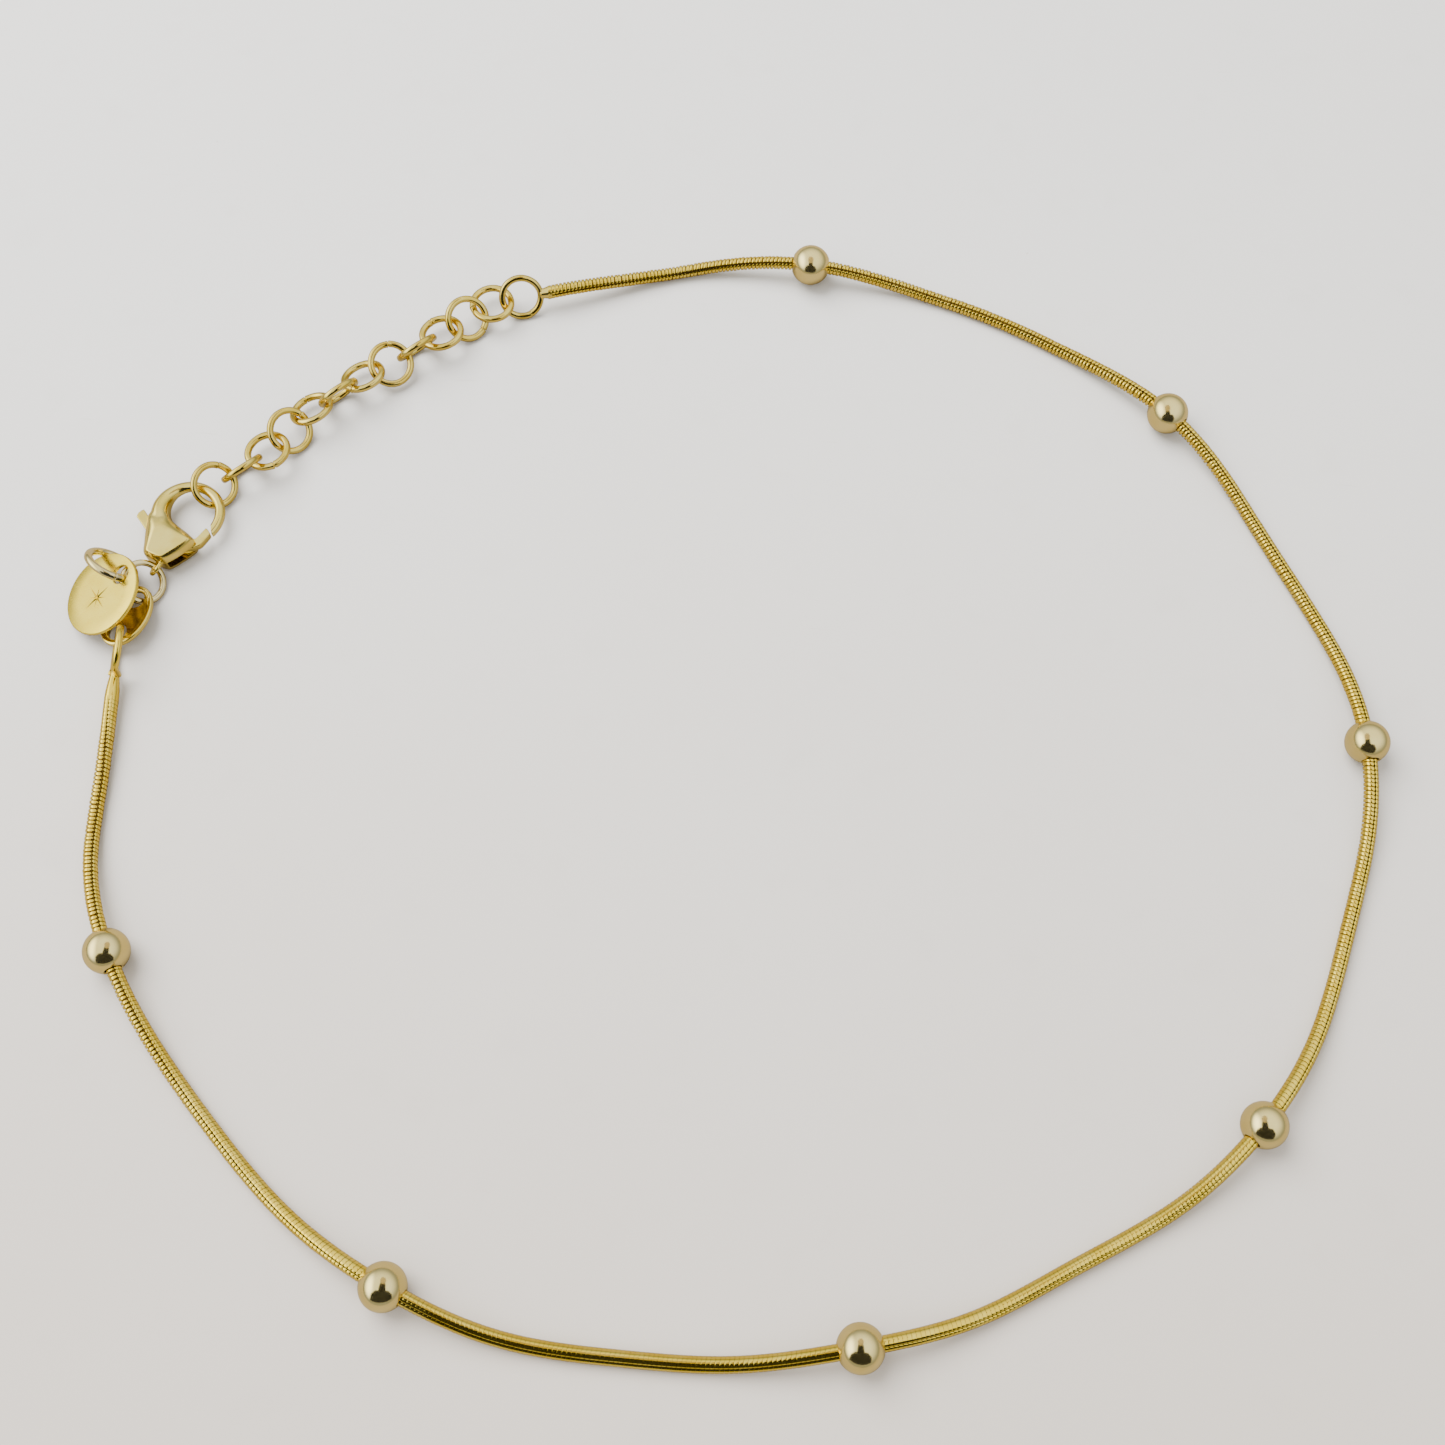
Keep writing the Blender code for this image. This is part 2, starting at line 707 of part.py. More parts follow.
def centre_footprint(root, parts):
    # moves the whole so that the middle of its footprint is the origin
    bpy.context.view_layer.update()
    graph = bpy.context.evaluated_depsgraph_get()
    corners = []
    for item in parts.objects:
        evaluated = item.evaluated_get(graph)
        mesh = evaluated.to_mesh()
        corners += [item.matrix_world @ vert.co for vert in mesh.vertices]
        evaluated.to_mesh_clear()
    lowest = [min(corner[axis] for corner in corners) for axis in range(3)]
    highest = [max(corner[axis] for corner in corners) for axis in range(3)]
    root.location = (-(lowest[0] + highest[0]) / 2, -(lowest[1] + highest[1]) / 2, -lowest[2])


def main():
    clear_scene()
    parts = make_collection("chain_anklet")
    cutters = make_collection("cutters")
    root = bpy.data.objects.new("footprint", None)
    bpy.context.scene.collection.objects.link(root)

    chain_gold = gold("chain gold", (0.86, 0.62, 0.24), 0.22)
    bead_gold = gold("bead gold", (0.88, 0.74, 0.46), 0.08)
    link_gold = gold("link gold", (0.80, 0.62, 0.30), 0.15)
    pale_gold = gold("pale gold", (0.90, 0.83, 0.64), 0.15)
    satin_gold = gold("satin gold", (0.82, 0.68, 0.40), 0.30)

    links = link_places()
    layout = clasp_layout()
    origin = clasp_origin(links[-1][0])
    clasp = bpy.data.objects.new("clasp_frame", None)
    bpy.context.scene.collection.objects.link(clasp)
    clasp.parent = root
    clasp.location = origin
    clasp.rotation_euler = (0, 0, math.radians(CLASP_HEADING))

    beyond = (layout["cup_end"] - layout["cup_ring"]).normalized() * CHAIN_GAP
    chain_end = clasp_matrix(origin) @ (layout["cup_end"] + beyond)
    points, beads = chain_route(links[0][0].z, chain_end)
    make_chain(points, parts, root, chain_gold)
    make_beads(beads, parts, root, bead_gold)
    make_links(links, parts, cutters, root, link_gold)
    make_clasp(layout, parts, cutters, clasp, satin_gold)
    make_lever(parts, cutters, clasp, satin_gold)
    make_rings(layout, parts, cutters, clasp, pale_gold, chain_gold)
    make_tag(layout, parts, cutters, clasp, satin_gold)
    make_connector(layout, parts, cutters, clasp, satin_gold)
    centre_footprint(root, parts)


main()
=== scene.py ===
# Looks of the chain anklet, built round its solids: a snake chain of small plates, seven polished
# beads, an extender of round links, a lobster clasp, jump rings, an oval connector and a tag.
# Sizes are in millimetres until a piece is finished, and angles in degrees.

import json
import math
import random

import bmesh
import bpy
import numpy as np
from mathutils import Matrix, Vector


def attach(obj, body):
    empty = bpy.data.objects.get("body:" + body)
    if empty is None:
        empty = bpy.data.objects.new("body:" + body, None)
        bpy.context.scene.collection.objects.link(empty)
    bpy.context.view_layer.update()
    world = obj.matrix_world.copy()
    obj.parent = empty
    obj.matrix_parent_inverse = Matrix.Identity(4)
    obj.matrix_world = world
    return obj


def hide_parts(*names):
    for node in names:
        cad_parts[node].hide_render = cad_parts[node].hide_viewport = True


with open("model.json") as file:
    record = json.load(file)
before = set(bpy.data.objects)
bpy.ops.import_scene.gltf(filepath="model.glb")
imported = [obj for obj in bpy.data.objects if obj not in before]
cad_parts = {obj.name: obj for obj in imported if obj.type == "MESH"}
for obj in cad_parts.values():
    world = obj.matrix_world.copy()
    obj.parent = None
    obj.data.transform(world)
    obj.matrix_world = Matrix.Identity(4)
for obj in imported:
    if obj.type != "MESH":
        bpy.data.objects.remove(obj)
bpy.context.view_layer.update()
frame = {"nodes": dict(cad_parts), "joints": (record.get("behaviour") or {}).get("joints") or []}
mm = 0.001
print("frame loaded:", len(frame["nodes"]), "nodes")


# Shader maths: a wrapped socket can be added, multiplied and so on like a number
class Flow:
    def __init__(self, graph, socket):
        self.graph = graph
        self.socket = socket

    def worked(self, operation, one, two):
        return self.graph.node("ShaderNodeMath", {"operation": operation}, {0: one, 1: two})

    def __add__(self, other):
        return self.worked("ADD", self, other)

    def __radd__(self, other):
        return self.worked("ADD", other, self)

    def __sub__(self, other):
        return self.worked("SUBTRACT", self, other)

    def __rsub__(self, other):
        return self.worked("SUBTRACT", other, self)

    def __mul__(self, other):
        return self.worked("MULTIPLY", self, other)

    def __rmul__(self, other):
        return self.worked("MULTIPLY", other, self)

    def between(self, low, high):
        # 0 at low and below, 1 at high and above, smooth on the way
        settings = {"interpolation_type": "SMOOTHSTEP"}
        return self.graph.node("ShaderNodeMapRange", settings, {0: self, 1: low, 2: high})


class Graph:
    # the nodes of one material or of the world
    def __init__(self, owner):
        owner.use_nodes = True
        self.tree = owner.node_tree

    def node(self, kind, settings=None, values=None, output=0):
        made = self.tree.nodes.new(kind)
        for name, value in (settings or {}).items():
            if name == "stops":
                ramp = made.color_ramp
                while len(ramp.elements) < len(value):
                    ramp.elements.new(0.5)
                for stop, (place, colour) in zip(ramp.elements, value):
                    stop.position = place
                    stop.color = (*colour, 1)
            else:
                setattr(made, name, value)
        for name, value in (values or {}).items():
            if isinstance(value, Flow):
                self.tree.links.new(value.socket, made.inputs[name])
            else:
                made.inputs[name].default_value = value
        return Flow(self, made.outputs[output])

    def feed(self, node, **values):
        # a flow goes in as a link, a number or a colour as the socket's own value
        for name, value in values.items():
            socket = self.tree.nodes[node].inputs[name.replace("_", " ")]
            if isinstance(value, Flow):
                self.tree.links.new(value.socket, socket)
            else:
                socket.default_value = value

    def place(self):
        return self.node("ShaderNodeTexCoord", output=3)

    def stretched(self, scale, turn=(0, 0, 0)):
        # the object's own coordinates, scaled unevenly and turned
        values = {"Vector": self.place(), "Rotation": [math.radians(a) for a in turn], "Scale": scale}
        return self.node("ShaderNodeMapping", None, values)

    def noise(self, scale, detail=2.0, vector=None, rough=0.5):
        values = {"Scale": scale, "Detail": detail, "Roughness": rough}
        values["Vector"] = vector if vector else self.place()
        return self.node("ShaderNodeTexNoise", None, values)

    def mix(self, factor, one, two):
        # one colour at a factor of 0 and the other at 1; the first may be a flow
        values = {0: factor, 6: one if isinstance(one, Flow) else (*one, 1), 7: (*two, 1)}
        return self.node("ShaderNodeMix", {"data_type": "RGBA"}, values, output=2)

    def part(self, vector, index):
        # the X, Y or Z part of a vector
        return self.node("ShaderNodeSeparateXYZ", None, {"Vector": vector}, output=index)

    def bump(self, height, strength, distance):
        values = {"Strength": strength, "Distance": distance * mm, "Height": height}
        return self.node("ShaderNodeBump", None, values)


# Gold finishes: main colour, deeper colour of its cloudy patches, roughness, strength of the hair
# scratches and of the fine grain, and how the grain is stretched and turned
golds = {
    "chainGold": {
        "colour": (0.98, 0.77, 0.12), "deep": (0.92, 0.68, 0.07), "roughness": 0.12,
        "scratches": 0.10, "grain": 0.25, "stretch": (1, 1, 1), "turn": (0, 0, 0),
    },
    "beadGold": {
        "colour": (0.92, 0.78, 0.33), "deep": (0.88, 0.73, 0.27), "roughness": 0.14,
        "scratches": 0.08, "grain": 0.05, "stretch": (1, 1, 1), "turn": (0, 0, 0),
    },
    "linkGold": {
        "colour": (0.88, 0.71, 0.19), "deep": (0.74, 0.55, 0.09), "roughness": 0.11,
        "scratches": 0.20, "grain": 0.20, "stretch": (1, 1, 1), "turn": (0, 0, 0),
    },
    "paleGold": {
        "colour": (0.90, 0.80, 0.45), "deep": (0.80, 0.67, 0.28), "roughness": 0.11,
        "scratches": 0.15, "grain": 0.10, "stretch": (1, 1, 1), "turn": (0, 0, 0),
    },
    "claspGold": {
        "colour": (0.93, 0.77, 0.22), "deep": (0.83, 0.66, 0.14), "roughness": 0.14,
        "scratches": 0.15, "grain": 0.12, "stretch": (1, 0.12, 1), "turn": (0, 0, -22.5),
    },
    "tagGold": {
        "colour": (0.92, 0.74, 0.11), "deep": (0.87, 0.68, 0.08), "roughness": 0.22,
        "scratches": 0.30, "grain": 0.10, "stretch": (0.15, 1, 1), "turn": (0, 0, 35),
    },
}
# what all the golds share: the sizes of their patches, grain and scratches, and the relief of both
goldWear = {
    "cloudScale": 700, "clouds": (0.35, 0.7), "grainScale": 14000,
    "hairTurns": (20, 75, 140), "hairScale": (260, 9000, 4000), "hairs": (0.66, 0.74),
    "hairRoughness": 0.3, "grainRoughness": 0.12, "bump": 0.12, "bumpDepth": 0.02,
}


def makeGold(name):
    # polished gold with cloudy patches, hair scratches and a fine grain
    look = golds[name]
    material = bpy.data.materials.new(name)
    graph = Graph(material)
    clouds = graph.noise(goldWear["cloudScale"], 3).between(*goldWear["clouds"])
    grain = graph.noise(goldWear["grainScale"], 2, graph.stretched(look["stretch"], look["turn"]))
    hairs = []
    for turn in goldWear["hairTurns"]:
        fine = graph.stretched(goldWear["hairScale"], (12, 25, turn))
        hairs.append(graph.noise(1.0, 1, fine).between(*goldWear["hairs"]))
    scratched = (hairs[0] + hairs[1] + hairs[2]) * look["scratches"]
    roughness = look["roughness"] + scratched * goldWear["hairRoughness"]
    height = grain * look["grain"] * 0.5 - scratched
    graph.feed(
        "Principled BSDF",
        Base_Color=graph.mix(clouds, look["deep"], look["colour"]),
        Metallic=1.0,
        Roughness=roughness + (grain - 0.5) * goldWear["grainRoughness"],
        Normal=graph.bump(height, goldWear["bump"], goldWear["bumpDepth"]),
    )
    return material


finishes = {name: makeGold(name) for name in golds}

# the chain's inside: dark gold whose darkness is painted shade for the gaps between the plates
innerPaintedShadeLook = {"dark": (0.12, 0.07, 0.010), "pale": (0.20, 0.12, 0.02), "roughness": 0.45}


def makeInnerPaintedShade():
    # the chain's inside, seen only through the gaps between its plates; its dark colour is painted
    # shade for those gaps
    material = bpy.data.materials.new("innerGoldPaintedShade")
    graph = Graph(material)
    patches = graph.noise(2500, 2).between(0.3, 0.7)
    colour = graph.mix(patches, innerPaintedShadeLook["dark"], innerPaintedShadeLook["pale"])
    graph.feed("Principled BSDF", Base_Color=colour, Metallic=1.0, Roughness=innerPaintedShadeLook["roughness"])
    return material


finishes["innerGoldPaintedShade"] = makeInnerPaintedShade()
print("finishes made:", len(finishes))


# Camera and studio
cameraLook = {
    "place": (0.415, -39.2, 104.3),
    "aim": (0.415, 1.42, 0.0),
    "roll": 2.8,
    "lens": 39.86,
    "sensor": 36,
    "nearest": 1.0,
}


def makeCamera():
    data = bpy.data.cameras.new("camera")
    data.sensor_width = cameraLook["sensor"]
    data.lens = cameraLook["lens"]
    data.clip_start = cameraLook["nearest"] * mm
    camera = bpy.data.objects.new("camera", data)
    bpy.context.scene.collection.objects.link(camera)
    place = Vector(cameraLook["place"]) * mm
    way = Vector(cameraLook["aim"]) * mm - place
    roll = Matrix.Rotation(math.radians(cameraLook["roll"]), 4, "Z")
    turned = way.to_track_quat("-Z", "Y").to_matrix().to_4x4() @ roll
    camera.matrix_world = Matrix.Translation(place) @ turned
    bpy.context.scene.camera = camera


makeCamera()

# a pale tent, brighter high up, with a window on its left, and one soft lamp
studio = {
    "sky": [(0.0, 0.24), (0.2, 0.33), (0.5, 0.76), (0.75, 1.02), (1.0, 1.05)],  # height and level
    "skyTint": (1.0, 0.985, 0.955),
    "skyStrength": 1.45,
    "window": 2.4,
    "windowLeft": (0.45, 0.88),     # from its soft edge to its full light
    "windowUp": (0.08, 0.36),
    "lightPower": 4.2,
    "lightPlace": (-190, 170, 330),
    "lightSize": 380,
}


def makeStudio():
    world = bpy.data.worlds.new("tent")
    bpy.context.scene.world = world
    graph = Graph(world)
    way = graph.node("ShaderNodeTexCoord", output=0)
    up = graph.part(way, 2)
    left = 0.0 - graph.part(way, 0)
    stops = [(place, [level * tint for tint in studio["skyTint"]]) for place, level in studio["sky"]]
    ramp = graph.node("ShaderNodeValToRGB", {"stops": stops}, {0: up})
    window = left.between(*studio["windowLeft"]) * up.between(*studio["windowUp"]) * studio["window"]
    graph.feed("Background", Color=ramp, Strength=(window + 1.0) * studio["skyStrength"])

    lamp = bpy.data.lights.new("softLight", "AREA")
    lamp.shape = "DISK"
    lamp.size = studio["lightSize"] * mm
    lamp.energy = studio["lightPower"]
    light = bpy.data.objects.new("softLight", lamp)
    bpy.context.scene.collection.objects.link(light)
    light.location = Vector(studio["lightPlace"]) * mm
    light.rotation_euler = (-light.location).to_track_quat("-Z", "Y").to_euler()
    light.visible_glossy = False


makeStudio()


def addStage(name, points, faces, material):
    mesh = bpy.data.meshes.new(name)
    mesh.from_pydata([Vector(p) * mm for p in points], [], faces)
    mesh.materials.append(material)
    stage = bpy.data.objects.new(name, mesh)
    bpy.context.scene.collection.objects.link(stage)
    return stage


def squareCorners(half, height):
    return [(-half, -half, height), (half, -half, height), (half, half, height), (-half, half, height)]


# the floor's colour goes from near to far between two lengths along Y, with cloudy edges
floorLook = {
    "half": 1500,
    "near": (0.565, 0.51, 0.45),
    "far": (0.64, 0.63, 0.61),
    "change": (-65, 45),
    "cloudScale": 22,
    "cloudReach": 40,
    "fibreScale": 9000,
    "roughness": 0.6,
    "markColour": (0.36, 0.32, 0.27),
}
# its faint smudges, short hairs and specks of dust
floorMarks = [
    {"scale": 260, "detail": 4, "shows": (0.55, 0.75), "strength": 0.05},
    {"scale": 1.0, "detail": 1, "shows": (0.79, 0.83), "strength": 0.16, "stretch": (150, 2600, 1)},
    {"scale": 900, "detail": 1, "shows": (0.81, 0.84), "strength": 0.3},
]


def makeFloor():
    look = floorLook
    material = bpy.data.materials.new("paleCard")
    graph = Graph(material)
    clouds = graph.noise(look["cloudScale"], 4) - 0.5
    fibres = graph.noise(look["fibreScale"], 2)
    away = graph.part(graph.place(), 1) + clouds * look["cloudReach"] * mm
    far = away.between(*[length * mm for length in look["change"]])
    colour = graph.mix(far, look["near"], look["far"])
    marks = []
    for mark in floorMarks:
        way = graph.stretched(mark["stretch"], (0, 0, 35)) if "stretch" in mark else None
        pattern = graph.noise(mark["scale"], mark["detail"], way).between(*mark["shows"])
        marks.append(pattern * mark["strength"])
    graph.feed(
        "Principled BSDF",
        Base_Color=graph.mix(marks[0] + marks[1] + marks[2], colour, look["markColour"]),
        Roughness=look["roughness"] + fibres * 0.1,
        Normal=graph.bump(fibres, 0.08, 0.02),
        Specular_IOR_Level=0.25,
    )
    floor = addStage("floor", squareCorners(look["half"], 0), [(0, 1, 2, 3)], material)
    floor.visible_glossy = False


makeFloor()

# What the polished gold mirrors: a darker copy of the pale table, whose colours are painted shade,
# and from the viewer's side a dark board, a dark strip that runs from it over the middle and a small
# tan spot. None of them is seen directly or casts a shadow
mirrored = {
    "tableHalf": 1500,
    "tableHeight": 0.002,
    # darker than the floor: painted shade of the floor as the gold mirrors it
    "tablePaintedShadeColours": ((0.235, 0.20, 0.15), (0.28, 0.24, 0.185)),
    "boardPlace": (0, -112, 88),
    "boardTilt": 62,
    "boardHalf": (116, 68),
    "boardColours": ((0.010, 0.010, 0.010), (0.022, 0.022, 0.022)),
    "stripFrom": -84,
    "stripTo": -3,
    "stripHeight": 112,
    "stripHalf": (38.4, 24),        # where it leaves the board and at its end
    "spotPlace": (0, 24, 110),
    "spotRadius": (30, 39),
    "spotColours": ((0.40, 0.34, 0.25), (0.46, 0.39, 0.29)),
}
# the board's outline as shares of its half width and half height
boardOutline = [
    (-0.9, -1), (0.8, -1), (1, -0.2), (0.75, 0.8), (0.2, 1), (-0.2, 1), (-0.7, 0.9), (-1, 0.1),
]


def addMirrored(name, points, dark, pale):
    material = bpy.data.materials.new(name)
    graph = Graph(material)
    colour = graph.mix(graph.noise(60, 2), dark, pale)
    graph.feed("Principled BSDF", Base_Color=colour, Roughness=0.9, Specular_IOR_Level=0.1)
    card = addStage(name, points, [tuple(range(len(points)))], material)
    card.visible_camera = False
    card.visible_shadow = False
    card.visible_diffuse = False


def makeMirrored():
    look = mirrored
    tilt = math.radians(look["boardTilt"])
    middle = Vector(look["boardPlace"])
    up = Vector((0, math.cos(tilt), math.sin(tilt)))
    side = Vector((1, 0, 0))
    wide, high = look["boardHalf"]
    board = [middle + x * wide * side + y * high * up for x, y in boardOutline]
    addMirrored("darkBoard", board, *look["boardColours"])

    (root, end), height = look["stripHalf"], look["stripHeight"]
    strip = [
        (-root, look["stripFrom"], height), (root, look["stripFrom"], height),
        (end, look["stripTo"], height), (-end, look["stripTo"], height),
    ]
    addMirrored("darkStrip", strip, *look["boardColours"])

    (x, y, z), (wide, high) = look["spotPlace"], look["spotRadius"]
    turns = [2 * math.pi * k / 24 for k in range(24)]
    spot = [(x + wide * math.cos(a), y + high * math.sin(a), z) for a in turns]
    addMirrored("tanSpot", spot, *look["spotColours"])

    # the darker table: painted shade, the pale floor darkened where the gold mirrors it
    table = squareCorners(look["tableHalf"], look["tableHeight"])
    addMirrored("mirroredTablePaintedShade", table, *look["tablePaintedShadeColours"])


makeMirrored()
print("studio made")


# Tools for the pieces
def unit(vector):
    vector = np.asarray(vector, float)
    return vector / np.linalg.norm(vector)


def nodePoints(node):
    return np.array([v.co[:] for v in frame["nodes"][node].data.vertices]) / mm


def circle(sides):
    # evenly spaced angles once round
    return np.linspace(0, 2 * np.pi, sides, endpoint=False)


def flatAxes(normal, along=(1, 0, 0)):
    # two directions across the normal, the first as near as can be to the way given
    normal = unit(normal)
    along = np.asarray(along, float)
    one = unit(along - along.dot(normal) * normal)
    return one, np.cross(normal, one)


def fitRing(node, outer, wire):
    # a ring node's centre and normal, leaving out what is joined to the ring
    points = nodePoints(node)
    radius = (outer - wire) / 2
    kept = points
    for slack in (0.6, 0.4, 0.3, 0.2, 0.12, 0.08, 0.05, 0.05):
        middle = kept.mean(0)
        normal = np.linalg.svd(kept - middle)[2][2]
        one, two = flatAxes(normal, (1, 0.3, 0.2))
        x = (kept - middle) @ one
        y = (kept - middle) @ two
        system = np.column_stack([2 * x, 2 * y, np.ones(len(x))])
        shift = np.linalg.lstsq(system, x**2 + y**2, rcond=None)[0]
        middle = middle + shift[0] * one + shift[1] * two
        offsets = points - middle
        height = offsets @ normal
        reach = np.hypot(offsets @ one, offsets @ two) - radius
        kept = points[np.abs(np.hypot(height, reach) - wire / 2) < slack]
    return middle, normal if normal[2] > 0 else -normal


def newObject(name, mesh):
    made = bpy.data.objects.new(name, mesh)
    bpy.context.scene.collection.objects.link(made)
    return made


def meshObject(name, points, faces):
    mesh = bpy.data.meshes.new(name)
    mesh.from_pydata(np.asarray(points).tolist(), [], faces)
    return newObject(name, mesh)


def applied(item):
    # the object with its modifiers worked into its mesh
    bpy.context.view_layer.update()
    graph = bpy.context.evaluated_depsgraph_get()
    mesh = bpy.data.meshes.new_from_object(item.evaluated_get(graph))
    item.modifiers.clear()
    item.data = mesh
    return item


def mended(mesh, weld=0.0):
    # faces turned outwards, after points nearer than the weld length are made one
    work = bmesh.new()
    work.from_mesh(mesh)
    if weld:
        bmesh.ops.remove_doubles(work, verts=work.verts, dist=weld)
    bmesh.ops.recalc_face_normals(work, faces=work.faces)
    work.to_mesh(mesh)
    work.free()


def cut(item, tool, operation="DIFFERENCE"):
    modifier = item.modifiers.new("cut", "BOOLEAN")
    modifier.operation = operation
    modifier.solver = "EXACT"
    modifier.object = tool
    applied(item)
    bpy.data.objects.remove(tool)
    return item


def joined(items):
    # several solids as one object
    whole = bmesh.new()
    for item in items:
        whole.from_mesh(item.data)
    name = items[0].name
    mesh = bpy.data.meshes.new(name)
    whole.to_mesh(mesh)
    whole.free()
    for item in items:
        bpy.data.objects.remove(item)
    return newObject(name, mesh)


def melted(item, voxel=0.04, rounds=3):
    # overlapping solids fused into one cast surface
    remesh = item.modifiers.new("cast", "REMESH")
    remesh.mode = "VOXEL"
    remesh.voxel_size = voxel
    soften = item.modifiers.new("soften", "SMOOTH")
    soften.factor = 0.5
    soften.iterations = rounds
    return applied(item)


def blended(item, centre, inner, outer, rounds):
    # the surface near a place smoothed further, less and less out to the outer radius
    group = item.vertex_groups.new(name="blend")
    for vertex in item.data.vertices:
        away = (vertex.co - Vector(centre)).length
        group.add([vertex.index], min(max((outer - away) / (outer - inner), 0), 1), "REPLACE")
    soften = item.modifiers.new("blend", "SMOOTH")
    soften.factor = 0.5
    soften.iterations = rounds
    soften.vertex_group = group.name
    applied(item)
    item.vertex_groups.clear()
    return item


def finishPiece(item, finish, nodes, body="anklet", sharp=None):
    # to metres, with its material, on its body and in the place of its nodes
    item.data.transform(Matrix.Scale(mm, 4))
    item.data.materials.clear()
    item.data.materials.append(finishes[finish])
    item.data.shade_smooth()
    if sharp:
        item.data.set_sharp_from_angle(angle=math.radians(sharp))
    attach(item, body)
    if nodes:
        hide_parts(*nodes)


def gridFaces(rows, columns, closeRows=False, closeColumns=False):
    # quads over a grid of points stored row by row
    faces = []
    for r in range(rows if closeRows else rows - 1):
        for c in range(columns if closeColumns else columns - 1):
            nextRow = (r + 1) % rows
            nextColumn = (c + 1) % columns
            faces.append((
                r * columns + c, r * columns + nextColumn,
                nextRow * columns + nextColumn, nextRow * columns + c,
            ))
    return faces


def rodFaces(rows, sides):
    # quads round a rod, with a cap on both ends
    caps = [tuple(reversed(range(sides))), tuple(range((rows - 1) * sides, rows * sides))]
    return gridFaces(rows, sides, closeColumns=True) + caps


def hoopFaces(rows, sides):
    # quads over a surface that closes both ways, facing out
    return [face[::-1] for face in gridFaces(rows, sides, closeRows=True, closeColumns=True)]


# Snake chain: its route runs inside the solid tube, through the same points as the tube's
chainLook = {
    "radius": 0.495,        # half the width across the flats
    "squareness": 2.15,     # 2 is round, more is squarer
    "pitch": 0.29,          # from one plate to the next
    "gap": 0.29,            # share of the pitch that is open between two plates
    "crown": 0.035,         # how far a plate's edges fall below its middle
    "seamDepth": 0.05,
    "seamWidth": 0.12,
    "slant": 0.09,          # how far a plate leans along the chain
    "unevenness": 0.012,    # of the plates' places and heights, where they lie open
    "sinking": 0.02,        # how deep a plate's sides go into the core
    "coreRadius": 0.385,
    "beadHeight": 1.5,
    "tubeRadius": 0.5,
    "rise": 11.0,           # length over which the chain lifts to a bead
}
chainRoute = [  # x, y and whether a bead sits there
    (-15.05, 34.15, False), (-9.3, 36.05, False), (-2.5, 37.85, False), (5.1, 37.9, True),
    (12.2, 36.8, False), (19.8, 34.25, False), (26.8, 30.45, False), (32.2, 26.1, True),
    (36.55, 20.8, False), (39.85, 14.7, False), (43.1, 7.9, False), (44.6, 0.45, True),
    (44.2, -6.4, False), (42.3, -12.9, False), (39.85, -19.4, False), (35.45, -25.85, True),
    (30.25, -30.8, False), (23.4, -34.85, False), (17.2, -38.1, False), (10.1, -40.1, True),
    (2.6, -41.35, False), (-4.35, -41.3, False), (-11.8, -40.5, False), (-18.85, -37.9, True),
    (-25.6, -33.9, False), (-30.75, -29.15, False), (-35.4, -23.95, False), (-39.2, -18.2, True),
    (-41.7, -11.7, False), (-42.1, -5.7, False), (-42.4, 0.1, False),
]
# how the chain is twisted and worn: share of its length, the way its seam faces (0 is out of the
# loop and 90 is up), and how open its plates are on the outer and the inner side
chainTwist = [
    (0.0, 158, 0.1, 0.1),
    (0.006, 158, 0.9, 0.7),
    (0.05, 140, 1.0, 0.8),
    (0.094, 126, 1.0, 0.9),
    (0.12, 119, 1.0, 0.9),
    (0.17, 116, 1.0, 0.9),
    (0.23, 100, 0.6, 1.0),
    (0.30, 86, 0.4, 0.9),
    (0.37, 76, 0.4, 0.8),
    (0.42, 74, 0.4, 0.7),
    (0.51, 66, 0.2, 0.2),
    (0.58, 60, 0.12, 0.1),
    (0.65, 58, 0.1, 0.1),
    (0.72, 56, 0.1, 0.1),
    (0.79, 66, 0.3, 0.2),
    (0.86, 90, 0.7, 0.3),
    (0.915, 112, 1.0, 0.5),
    (0.94, 121, 1.0, 0.6),
    (0.97, 119, 1.0, 0.8),
    (0.982, 104, 0.8, 0.8),
    (0.99, 94, 0.25, 0.5),
    (1.0, 90, 0.03, 0.03),
]


def splineThrough(stations, values):
    # the natural cubic spline that the solid's route follows
    count = len(stations)
    steps = np.diff(stations)
    system = np.eye(count)
    bends = np.zeros(count)
    for i in range(1, count - 1):
        system[i, i - 1:i + 2] = (steps[i - 1], 2 * (steps[i - 1] + steps[i]), steps[i])
        bends[i] = 6 * (np.diff(values)[i] / steps[i] - np.diff(values)[i - 1] / steps[i - 1])
    second = np.linalg.solve(system, bends)

    def value(station):
        i = np.clip(np.searchsorted(stations, station) - 1, 0, count - 2)
        a = (stations[i + 1] - station) / steps[i]
        b = 1 - a
        bend = ((a**3 - a) * second[i] + (b**3 - b) * second[i + 1]) * steps[i] ** 2 / 6
        return a * values[i] + b * values[i + 1] + bend

    return value


